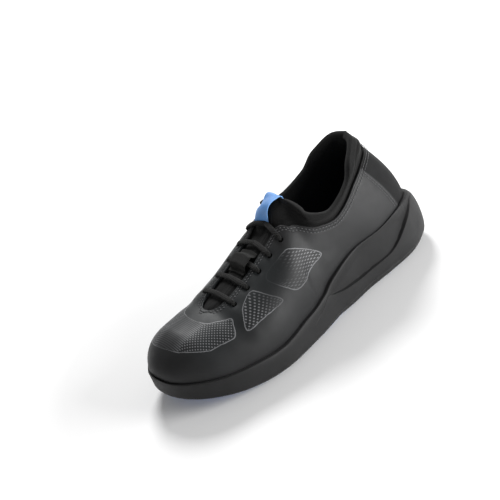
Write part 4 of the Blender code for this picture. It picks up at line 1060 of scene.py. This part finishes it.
def make_upper(last, material):
    edge = last.edge_shares()
    rim = last.read(both("rim", SOLE_ROWS)) * SOLE_RIM_HEIGHT
    rim_share = last.share_at_height(rim)
    step = seam_steps(last)
    closed = np.minimum(np.arange(last.count), last.pair) >= last.labels["vamp"]
    radius = UPPER_WALL / 2
    back = np.where(closed, 0.0, radius / last.length)
    low = rim_share * 0.55
    fine = 74
    t = np.linspace(0, 1, fine)
    outer = low[:, None] + (edge - back - low)[:, None] * t[None, :]
    flat = last.at_shares(outer)
    relief = upper_relief(last, outer, edge, flat)
    hold = smooth((outer - rim_share[:, None]) * last.length[:, None] / 0.003)
    outer_points = last.at_shares(outer, -step[:, None] + relief * hold)
    turn = np.linspace(0, math.pi, 8)[1:-1]
    shares = edge[:, None] - back[:, None] * (1 - np.sin(turn))[None, :]
    top_relief = (relief * hold)[:, -1:] * (1 + np.cos(turn))[None, :] / 2
    roll = -radius * (1 - np.cos(turn))[None, :] - step[:, None] * 0.5 + top_relief
    edge_points = last.at_shares(shares, roll)
    inner = np.linspace(1, 0, 20)[None, :] * (edge - back - low)[:, None] + low[:, None]
    inner_points = last.at_shares(inner, -UPPER_WALL)
    points = np.concatenate([outer_points, edge_points, inner_points], axis=1)
    rows = points.shape[1]
    index = np.arange(last.count * rows).reshape(last.count, rows)
    faces = []
    for i in range(last.count):
        j = (i + 1) % last.count
        shut = closed[i] and closed[j]
        for r in range(rows - 1):
            if not (shut and fine - 1 <= r < fine + len(turn)):
                faces.append((index[i, r], index[j, r], index[j, r + 1], index[i, r + 1]))
        faces.append((index[i, rows - 1], index[j, rows - 1], index[j, 0], index[i, 0]))
    upper = add_piece("upper_shell", points.reshape(-1, 3), faces, material, "upper")
    return upper, edge, rim_share


def punch_eyelets(last, upper):
    verts, faces = [], []
    for y in lace_rows():
        for side in (1, -1):
            place = last.beside_ridge(y, side, eyelet_away(y))
            tall = last.beside_ridge(y, side, eyelet_away(y), UPPER_WALL) - place
            matrix = Matrix.Translation(place) @ Vector(tall).to_track_quat("Z", "Y").to_matrix().to_4x4()
            faces += rings_faces(2, EYELET_SIDES, len(verts))
            for z in (-2 * UPPER_WALL, 2 * UPPER_WALL):
                for k in range(EYELET_SIDES):
                    turn = 2 * math.pi * k / EYELET_SIDES
                    x, y_out = EYELET_RADIUS * math.cos(turn), EYELET_RADIUS * math.sin(turn)
                    verts.append(matrix @ Vector((x, y_out, z)))
    cut_away(upper, plain_object("eyelet_cut", verts, faces))


def make_midsole(last, coarse, material):
    rim = last.read(both("rim", SOLE_ROWS)) * SOLE_RIM_HEIGHT
    flare = last.read(both("flare", SOLE_ROWS)) * SOLE_FLARE
    tuck = last.read(both("tuck", SOLE_ROWS)) * SOLE_TUCK
    crown = last.read(both("crown", SOLE_ROWS), monotone)
    step = last.read(both("step", SOLE_ROWS), monotone)
    ledge = last.read(both("ledge", SOLE_ROWS), monotone) * SOLE_LEDGE
    bottom = sole_rise(last.y) + SOLE_BORDER_RISE
    wide = np.stack([last.x, last.y, 0 * last.x], -1) + last.out * flare[:, None]
    top = last.share_at_height(rim)
    clear = PIECE_GAP - seam_steps(last)
    lip = last.at_shares(top[:, None], (clear + RIM_LIP)[:, None])[:, 0]
    room = np.linalg.norm(wide[:, :2] - lip[:, :2], axis=1)
    step = np.clip(step, WIDEST_SHARE + 0.03, LEDGE_TOP)
    heights = [0.0, 0.012, 0.03, 0.055, 0.08, 0.105, 0.128, 0.138, 0.148, 0.17, 0.20, 0.24, 0.28, 0.31]
    knots, pulls = [0.0, 0.05, 0.13, 0.15, 0.27, 0.34], [1.0, 0.55, 0.28, 0.16, 0.02, 0.0]
    edge_heights = np.array(heights)
    edge_pull = monotone(np.array(knots), np.array(pulls), edge_heights)

    def height_of(angle, c):
        return WIDEST_SHARE + (1 - WIDEST_SHARE) * np.cos(angle) ** (2 / c)

    def angle_of(height, c):
        return np.arccos(np.clip((height - WIDEST_SHARE) / (1 - WIDEST_SHARE), 0, 1) ** (c / 2))

    def ring(x_y, height):
        return np.concatenate([x_y, (bottom + (rim - bottom) * height)[:, None]], axis=1)

    a1, a2 = angle_of(step, crown), angle_of(step + LEDGE_SLOPE, crown)
    parts = [(math.pi / 2, a1, 14, 0), (a1, a2, 6, 0), (a2, 0.0, 26, 1)]
    columns = []
    for height, pull in zip(edge_heights, edge_pull):
        crease = 0.00035 * math.exp(-(((height - 0.142) / 0.010) ** 2))
        inward = tuck * pull + crease
        columns.append(ring(wide[:, :2] - last.out[:, :2] * inward[:, None], height))
    for start, end, count, extra in parts:
        for k in range(count + extra):
            angle = start + (end - start) * k / count
            height = height_of(angle, crown)
            reach = np.maximum(np.sin(angle), 0) ** (2 / crown)
            cut = ledge * smooth((height - step) / LEDGE_SLOPE)
            cut = np.minimum(cut, ledge * np.clip((1 - height) / LEDGE_FADE, 0, 1) ** 0.8)
            cut = np.minimum(cut, reach * room * LEDGE_SHARE)
            x_y = lip[:, :2] * (1 - reach)[:, None] + wide[:, :2] * reach[:, None]
            columns.append(ring(x_y - last.out[:, :2] * cut[:, None], height))
    columns[-1][:, 2] -= 0.0003
    face = last.at_shares(top[:, None], clear[:, None])[:, 0]
    columns.append(ring(lip[:, :2] * 0.6 + face[:, :2] * 0.4, 1.0))
    for k in range(4):
        inside = last.at_shares((top * (1 - k / 3))[:, None], clear[:, None])[:, 0]
        if k == 0:
            inside[:, 2] -= 0.0004
        if k == 3:
            inside[:, 2] = bed_height(last.y)
        columns.append(inside)
    points = np.stack(columns, axis=1)
    faces = loop_faces(last, len(columns), (0, len(columns) - 1))
    sole = add_piece("midsole_foam", points.reshape(-1, 3), faces, material, "midsole")
    low, high = -SOLE_CUT_BELOW, OUTSOLE_THICKNESS + PIECE_GAP
    tread_outline = sole_outline(coarse, SOLE_BORDER_WIDTH - PIECE_GAP)
    cut_away(sole, notched_prism("tread_recess", tread_outline, low, high))
    cut_away(sole, prism_object("plate_recess", plate_outline(PIECE_GAP), low, high, True))
    shade_smooth(sole, 45)
    return sole


def sole_outline(last, inset):
    flare = last.read(both("flare", SOLE_ROWS)) * SOLE_FLARE
    tuck = last.read(both("tuck", SOLE_ROWS)) * SOLE_TUCK
    foot = np.stack([last.x, last.y], -1)
    return foot + last.out[:, :2] * (flare - tuck - inset)[:, None]


def notched_prism(name, outline, low, high):
    """The tread's recess: a prism of the outline less the arch notch, lifted to the sole's underside."""
    body = prism_object(name, outline, low, high)
    heel_y, toe_y = along_to_y(NOTCH_SPAN[0]), along_to_y(NOTCH_SPAN[1])
    x0, x1, y0, y1 = -0.08, NOTCH_INNER_X - PIECE_GAP, toe_y + PIECE_GAP, heel_y - PIECE_GAP
    notch = prism_object("notch", [(x0, y0), (x1, y0), (x1, y1), (x0, y1)], low - 0.01, 0.05)
    cut_away(body, notch)
    bm = bmesh.new()
    bm.from_mesh(body.data)
    for k in range(-14, 16):
        geometry = list(bm.verts) + list(bm.edges) + list(bm.faces)
        bmesh.ops.bisect_plane(bm, geom=geometry, dist=1e-6, plane_co=(0, k * 0.01, 0), plane_no=(0, 1, 0))
    for v in bm.verts:
        v.co.z += float(sole_rise(v.co.y))
    bm.to_mesh(body.data)
    bm.free()
    return body


def plate_outline(grow):
    middle = along_to_y((NOTCH_SPAN[0] + NOTCH_SPAN[1]) / 2)
    half_length, half_width = ARCH_PLATE_LENGTH / 2 + grow, ARCH_PLATE_WIDTH / 2 + grow
    centre_x = NOTCH_INNER_X - ARCH_PLATE_MARGIN - ARCH_PLATE_WIDTH / 2
    corner = ARCH_PLATE_CORNER + grow
    points = []
    for quarter, (sx, sy) in enumerate(((1, 1), (-1, 1), (-1, -1), (1, -1))):
        for k in range(4):
            angle = math.pi / 2 * (quarter + k / 3)
            x = centre_x + sx * (half_width - corner) + corner * math.cos(angle)
            points.append((x, middle + sy * (half_length - corner) + corner * math.sin(angle)))
    return points


def make_bootie(last, edge, rim_share, material):
    """Lining, padded collar and tongue in one: the face in the upper, a rolled top edge, the lining."""
    front = last.labels["vamp"]
    columns = np.array(list(range(front, -1, -1)) + [int(last.pair[i]) for i in range(1, front + 1)])
    length = last.length[columns][:, None]
    top = np.minimum(edge[columns], 1 - 0.002 / last.length[columns])[:, None]
    rim = rim_share[columns][:, None]
    side = np.minimum(columns, last.pair[columns])
    saddle, tongue_at = last.labels["saddle"], last.labels["tongue"]
    blend = smooth((side - saddle) / (tongue_at - saddle))[:, None]
    bulge = COLLAR_BULGE * (1 - blend) + TONGUE_BULGE * blend
    thick = COLLAR_PAD * (1 - blend) + LINING_WALL * blend

    def face_of(shares):
        beyond = smooth((shares - top) * length / BULGE_RUN)
        return -(UPPER_WALL + LAYER_GAP) + bulge * beyond, beyond

    low_outer = np.maximum(rim, top - 0.016 / length)
    hidden = low_outer + (top - low_outer) * np.linspace(0, 1, 8)[None, :-1]
    outer = np.concatenate([hidden, top + (1 - top) * np.linspace(0, 1, 26)[None, :]], axis=1)
    face, beyond = face_of(outer)
    base = last.at_shares(outer, face, columns)
    band = (1 - outer) * length
    puff = 0.00045 * waves(base.reshape(-1, 3), 0.024, 11, 2).reshape(face.shape) * beyond
    groove = -0.0006 * np.exp(-(((band - 0.0058) / 0.0009) ** 2)) * beyond * (1 - blend * 0.6)
    outer_points = last.at_shares(outer, face + puff + groove, columns)
    inner_low = rim * 0.35
    inner = 1 + (inner_low - 1) * (np.linspace(0, 1, 40)[None, :] ** 1.2)
    face_in, beyond_in = face_of(inner)
    depth = LINING_WALL + (thick - LINING_WALL) * beyond_in
    base_in = last.at_shares(inner, face_in - depth, columns)
    puff_in = 0.0006 * waves(base_in.reshape(-1, 3), 0.03, 12, 2).reshape(face_in.shape)
    inner_points = last.at_shares(inner, face_in - depth - puff_in, columns)
    start, end = outer_points[:, -1], inner_points[:, 0]
    middle, half = (start + end) / 2, (start - end) / 2
    size = np.linalg.norm(start - end, axis=1)
    rise = np.array([0, 0, 1.0])[None, :] * (size * CREST_RISE)[:, None]
    crest = [middle + half * math.cos(a) + rise * math.sin(a) for a in np.linspace(0, math.pi, 10)[1:-1]]
    on_top = (side >= last.labels["tongue_side"] - last.density) & (side <= tongue_at)
    order = np.argsort(start[on_top][:, 0])
    tongue_top = [row[on_top][order] for row in (start, crest[2], crest[-3], end, inner_points[:, 4])]
    points = np.concatenate([outer_points, np.stack(crest, axis=1), inner_points], axis=1)
    rows = points.shape[1]
    index = np.arange(len(columns) * rows).reshape(len(columns), rows)
    shut = side >= tongue_at
    n_outer, n_crest = outer.shape[1], len(crest)
    faces = []
    for k in range(len(columns) - 1):
        closed = shut[k] and shut[k + 1]
        for r in range(rows - 1):
            if not (closed and n_outer - 1 <= r < n_outer + n_crest):
                faces.append((index[k, r], index[k + 1, r], index[k + 1, r + 1], index[k, r + 1]))
        faces.append((index[k, rows - 1], index[k + 1, rows - 1], index[k + 1, 0], index[k, 0]))
    flat_points = points.reshape(-1, 3)
    corner = smooth((-0.0105 - flat_points[:, 0]) / 0.006) * smooth((flat_points[:, 2] - 0.090) / 0.012)
    corner *= smooth((0.026 - flat_points[:, 1]) / 0.010) * smooth((flat_points[:, 1] - 0.004) / 0.008)
    flat_points += corner[:, None] * np.array(TONGUE_CORNER_EASE)[None, :]
    places = points.reshape(-1, 3)
    bootie = add_piece("collar_padding", places, faces, material, "collar_bootie")
    bm = bmesh.new()
    bm.from_mesh(bootie.data)
    holes = [e for e in bm.edges if len(e.link_faces) == 1]
    bmesh.ops.holes_fill(bm, edges=holes, sides=0)
    bmesh.ops.recalc_face_normals(bm, faces=bm.faces)
    bm.to_mesh(bootie.data)
    bm.free()
    shade_smooth(bootie)
    return bootie, tongue_top


def make_insole(last, material):
    inset = UPPER_WALL + LAYER_GAP
    foot = last.at_shares(np.zeros((last.count, 1)))[:, 0]
    edge = foot - last.out * inset
    floor = bed_height(last.y) + PIECE_GAP
    rings = []
    for inward, up in ((0.0, 0.0), (0.0, 0.7), (0.0004, 0.92), (INSOLE_ROUND, 1.0)):
        ring = edge - last.out * inward
        rings.append(np.stack([ring[:, 0], ring[:, 1], floor + INSOLE_THICKNESS * up], -1))
    rim = edge - last.out * INSOLE_ROUND
    for share in np.linspace(0.12, 1.0, 10):
        ring = rim * (1 - share / 2) + rim[last.pair] * (share / 2)
        dish = -INSOLE_DISH * math.sin(math.pi * share / 2)
        height = bed_height(ring[:, 1]) + PIECE_GAP + INSOLE_THICKNESS + dish
        rings.append(np.stack([ring[:, 0], ring[:, 1], height], -1))
    points = np.stack(rings, axis=1)
    faces = loop_faces(last, len(rings), (0,))
    return add_piece("insole_cover", points.reshape(-1, 3), faces, material, "insole")


# Laces, keeper and tab

def sweep(name, places, talls, widths, thicknesses, material, node):
    """A flat-oval cord along the places, with its thin way along talls, and a braid chart."""
    places, talls = np.array(places), np.array(talls)
    count, sides = len(places), CORD_SIDES
    verts = []
    run = run_along(places)
    for k in range(count):
        ahead = places[min(k + 1, count - 1)] - places[max(k - 1, 0)]
        ahead /= np.linalg.norm(ahead)
        across = np.cross(talls[k], ahead)
        across /= np.linalg.norm(across)
        tall = np.cross(ahead, across)
        for s in range(sides):
            angle = 2 * math.pi * s / sides
            wide = math.copysign(abs(math.cos(angle)) ** 0.85, math.cos(angle))
            sideways = across * wide * widths[k] / 2
            verts.append(places[k] + sideways + tall * math.sin(angle) * thicknesses[k] / 2)
    made = add_piece(name, verts, rings_faces(count, sides), material, node, weld=1e-9)
    chart = made.data.uv_layers.new(name="braid")
    for face in made.data.polygons:
        numbers = list(face.vertices)
        around_share = [(v % sides) / sides for v in numbers]
        wrap = max(around_share) - min(around_share) > 0.5
        for corner, v, share in zip(face.loop_indices, numbers, around_share):
            if wrap and share < 0.5:
                share += 1
            chart.data[corner].uv = (share * 6.0, run[min(v // sides, count - 1)] * BRAID_TURNS)
    return made


def lace_path(last, y, lift):
    """From inside the lateral eyelet, out of its hole, over the throat and into the medial one."""
    away = eyelet_away(y)
    places, talls = [], []
    steps = 40
    for k in range(steps + 1):
        across = 1 - 2 * k / steps
        side = 1 if across >= 0 else -1
        out = abs(across) * (away + 0.0002)
        dive = smooth((abs(across) - 0.86) / 0.14)
        place = last.beside_ridge(y, side, out, lift - (lift + LACE_DIVE) * dive**1.6)
        tall = last.beside_ridge(y, side, out, 0.004) - last.beside_ridge(y, side, out)
        places.append(place)
        talls.append(tall / np.linalg.norm(tall))
    return places, talls


def make_laces(last, material):
    made = []
    for k, y in enumerate(lace_rows()):
        lift = PIECE_GAP + SEEN_LACE_THICKNESS / 2
        places, talls = lace_path(last, y, lift)
        steps = len(places)
        ends = [abs(1 - 2 * s / (steps - 1)) for s in range(steps)]
        widths = [SEEN_LACE_WIDTH * (1 - 0.30 * smooth((e - 0.82) / 0.18)) for e in ends]
        thick = [SEEN_LACE_THICKNESS * (1 + 0.25 * smooth((e - 0.82) / 0.18)) for e in ends]
        node = f"lace_bar_{k + 1}"
        made.append(sweep(f"lace_row_{k + 1}", places, talls, widths, thick, material, node))
    return made


def ribbon(name, under, over, material, node):
    """A strip from rows of points underneath and on top. The chart runs across (x) and along it (y)."""
    verts = []
    for low, high in zip(under, over):
        verts += list(low) + list(high)[::-1]
    count = len(under[0])
    made = add_piece(name, verts, rings_faces(len(under), 2 * count), material, node, weld=1e-9)
    run = run_along(np.array([row[count // 2] for row in over]))
    width = np.linalg.norm(np.array(over[0][0]) - np.array(over[0][-1]))
    chart = made.data.uv_layers.new(name="ribbon")
    for face in made.data.polygons:
        for corner, v in zip(face.loop_indices, face.vertices):
            row, at = divmod(v, 2 * count)
            at = at if at < count else 2 * count - 1 - at
            chart.data[corner].uv = ((at / (count - 1) - 0.5) * width, run[min(row, len(run) - 1)])
    bevel = made.modifiers.new("round", "BEVEL")
    bevel.width = 0.0003
    bevel.segments = 2
    bevel.limit_method = "ANGLE"
    return made


def across_row(last, y, width, offset, steps=12, shift=0.0):
    """Points across the ridge at y, as wide as the strip, moved by shift to the lateral side."""
    places = [(k / steps - 0.5) * width + shift for k in range(steps + 1)]
    return [last.beside_ridge(y, 1 if x >= 0 else -1, abs(x), offset) for x in places]


def tongue_face():
    return -(UPPER_WALL + LAYER_GAP) + TONGUE_BULGE


def make_keeper(last, material):
    middle = lace_rows()[LACE_ROWS // 2]
    low, high = tongue_face() + PIECE_GAP, 3 * PIECE_GAP + LACE_THICKNESS
    under, over = [], []
    for k in range(31):
        along = -1 + 2 * k / 30
        lift = smooth((0.74 - abs(along)) / 0.34)
        y = middle + along * KEEPER_LENGTH / 2
        offset = low + (high - low) * lift
        under.append(across_row(last, y, KEEPER_WIDTH, offset))
        over.append(across_row(last, y, KEEPER_WIDTH, offset + STRAP_THICKNESS))
    return ribbon("keeper_strap", under, over, material, "lace_keeper")


def make_tab(last, tongue_top, material):
    """The ribbon, bowed off the tongue from the top lace up, folded over its edge and tucked inside."""
    top_y = last.grid[last.labels["tongue"], -1, 1]
    steps = 14
    rows = []
    for share in np.linspace(0, 0.84, 12):
        y = top_y - TAB_REACH * (1 - share)
        offset = tongue_face() + TAB_CLEAR + TAB_LIFT * (math.sin(math.pi * share) + 0.9 * share)
        rows.append(across_row(last, y, TAB_WIDTH, offset, steps, TAB_SHIFT))
    foot_y = top_y - TAB_REACH
    tall = last.beside_ridge(foot_y, 1, 0, MILLIMETRE) - last.beside_ridge(foot_y, 1, 0)
    up = np.array([0, 0, 1.0])
    columns = []
    for k in range(steps + 1):
        x = rows[-1][k][0]
        stops = [along_line(straight, line[:, 0], line, x) for line in tongue_top]
        through = (stops[3] - stops[0]) / np.linalg.norm(stops[3] - stops[0])
        ways = (up * 0.5 - through, up - through / 2, up + through / 2, through + up * 0.4, through)
        fold = [place + way / np.linalg.norm(way) * TAB_FOLD_CLEAR for place, way in zip(stops, ways)]
        path = np.array([row[k] for row in rows] + fold)
        run = run_along(path)
        columns.append(along_line(spline, run, path, np.linspace(0, run[-1], 60)))
    grid = np.stack(columns, axis=1)
    for _ in range(16):
        grid[1:-1] = (grid[:-2] + 2 * grid[1:-1] + grid[2:]) / 4
        grid[:, 1:-1] = (grid[:, :-2] + 2 * grid[:, 1:-1] + grid[:, 2:]) / 4
    normals = np.cross(np.gradient(grid, axis=1), np.gradient(grid, axis=0))
    normals /= np.linalg.norm(normals, axis=2, keepdims=True)
    normals *= np.sign(normals[0, steps // 2] @ tall)
    over = grid + normals * TAB_THICKNESS
    return ribbon("ribbon_tab", list(grid), list(over), material, "tongue_tab")


def make_floor():
    corners = [(x * FLOOR_REACH, y * FLOOR_REACH, 0) for x, y in ((-1, -1), (1, -1), (1, 1), (-1, 1))]
    floor = plain_object("floor", corners, [(0, 1, 2, 3)])
    m = Nodes("pale_floor")
    m.set(Base_Color=(0.86, 0.86, 0.86, 1), Roughness=0.8, Specular_IOR_Level=0.1)
    x, y, _ = m.axes(m.object_space)
    glow = m.ramp(m.hypotenuse(x, y), *FLOOR_GLOW_SPAN, *FLOOR_GLOW)
    m.set(Emission_Color=(1, 1, 1, 1), Emission_Strength=glow)
    floor.data.materials.append(m.material)


def add_light(name, place, target, size, power):
    data = bpy.data.lights.new(name, "AREA")
    data.shape = "DISK"
    data.size = size
    data.energy = power
    light = bpy.data.objects.new(name, data)
    bpy.context.scene.collection.objects.link(light)
    light.location = place
    light.rotation_mode = "QUATERNION"
    light.rotation_quaternion = (Vector(target) - Vector(place)).to_track_quat("-Z", "Y")


def make_stage(shift):
    make_floor()
    world = bpy.data.worlds.new("studio")
    bpy.context.scene.world = world
    world.use_nodes = True
    background = world.node_tree.nodes["Background"]
    background.inputs["Color"].default_value = (1, 1, 1, 1)
    background.inputs["Strength"].default_value = WORLD_STRENGTH
    for light in LIGHTS:
        add_light(*light)
    a, e, r = (math.radians(v) for v in (AZIMUTH, ELEVATION, ROLL))
    back = Vector((math.sin(a) * math.cos(e), -math.cos(a) * math.cos(e), math.sin(e)))
    right = Vector((math.cos(a), math.sin(a), 0))
    up = Vector((-math.sin(a) * math.sin(e), math.cos(a) * math.sin(e), math.cos(e)))
    across = right * math.cos(r) - up * math.sin(r)
    upward = right * math.sin(r) + up * math.cos(r)
    data = bpy.data.cameras.new("camera")
    camera = bpy.data.objects.new("camera", data)
    bpy.context.scene.collection.objects.link(camera)
    turn = Matrix((across, upward, back)).transposed()
    camera.matrix_world = Matrix.Translation(Vector(AIM) + Vector(shift) + back * DISTANCE) @ turn.to_4x4()
    data.sensor_width = SENSOR_WIDTH
    data.lens = FOCAL_PIXELS / FRAME_PIXELS * data.sensor_width
    data.shift_x = (FRAME_PIXELS / 2 - CENTRE_PIXEL[0]) / FRAME_PIXELS
    data.shift_y = (CENTRE_PIXEL[1] - FRAME_PIXELS / 2) / FRAME_PIXELS
    data.clip_start = 0.05
    data.clip_end = 100
    bpy.context.scene.camera = camera
    bpy.context.scene.view_settings.view_transform = "Standard"


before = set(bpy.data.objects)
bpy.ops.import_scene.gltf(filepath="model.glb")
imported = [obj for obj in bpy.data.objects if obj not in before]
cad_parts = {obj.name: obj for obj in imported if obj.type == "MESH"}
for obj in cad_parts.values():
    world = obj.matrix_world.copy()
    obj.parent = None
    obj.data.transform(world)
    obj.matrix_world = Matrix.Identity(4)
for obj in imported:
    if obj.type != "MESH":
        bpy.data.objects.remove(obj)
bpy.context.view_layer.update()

coarse = Last(1, 96)
foot_edge = coarse.at_shares(np.zeros((coarse.count, 1)))[:, 0] - coarse.out * (UPPER_WALL + LAYER_GAP)
low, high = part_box("insole")
shift = (
    (low[0] + high[0]) / 2 - (foot_edge[:, 0].min() + foot_edge[:, 0].max()) / 2,
    (low[1] + high[1]) / 2 - (foot_edge[:, 1].min() + foot_edge[:, 1].max()) / 2,
    0.0,
)

leather, foam = leather_material(), foam_material()
knit = knit_material("bootie_knit", (0.0030, 0.0030, 0.0030), (0.0078, 0.0078, 0.0078), 1.0, 0.92, 0.03)
insole_cloth = knit_material("insole_cloth", (0.090, 0.250, 0.640), (0.170, 0.380, 0.800), 1.2, 0.9, 0.1)
strap_cloth = knit_material("strap_cloth", (0.005, 0.005, 0.0048), (0.012, 0.012, 0.0115), 1.3, 0.9, 0.03)
braid, satin, thread = lace_material(), ribbon_material(), thread_material()
tread, plate = rubber_material(shift), plain_rubber_material()

last = Last(8)
upper, edge, rim_share = make_upper(last, leather)
punch_eyelets(last, upper)
print_upper(upper, last)
shade_smooth(upper, 50)
midsole = make_midsole(Last(6), coarse, foam)
bootie, tongue_top = make_bootie(last, edge, rim_share, knit)
insole = make_insole(Last(4), insole_cloth)
stitches = edge_stitch_rows(last, edge) + seam_stitch_rows(last, edge, rim_share)
seams = add_stitches("upper_stitching", stitches, thread)
pieces = [upper, midsole, bootie, insole, seams]
laces = make_laces(last, braid)
keeper = make_keeper(last, strap_cloth)
tab = make_tab(last, tongue_top, satin)
pieces += laces + [keeper, tab]

for piece in pieces:
    piece.data.transform(Matrix.Translation(shift))
    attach(piece, "root")
for node, finish in (("outsole", tread), ("arch_plate", plate)):
    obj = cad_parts[node]
    obj.data.materials.clear()
    obj.data.materials.append(finish)

make_stage(shift)
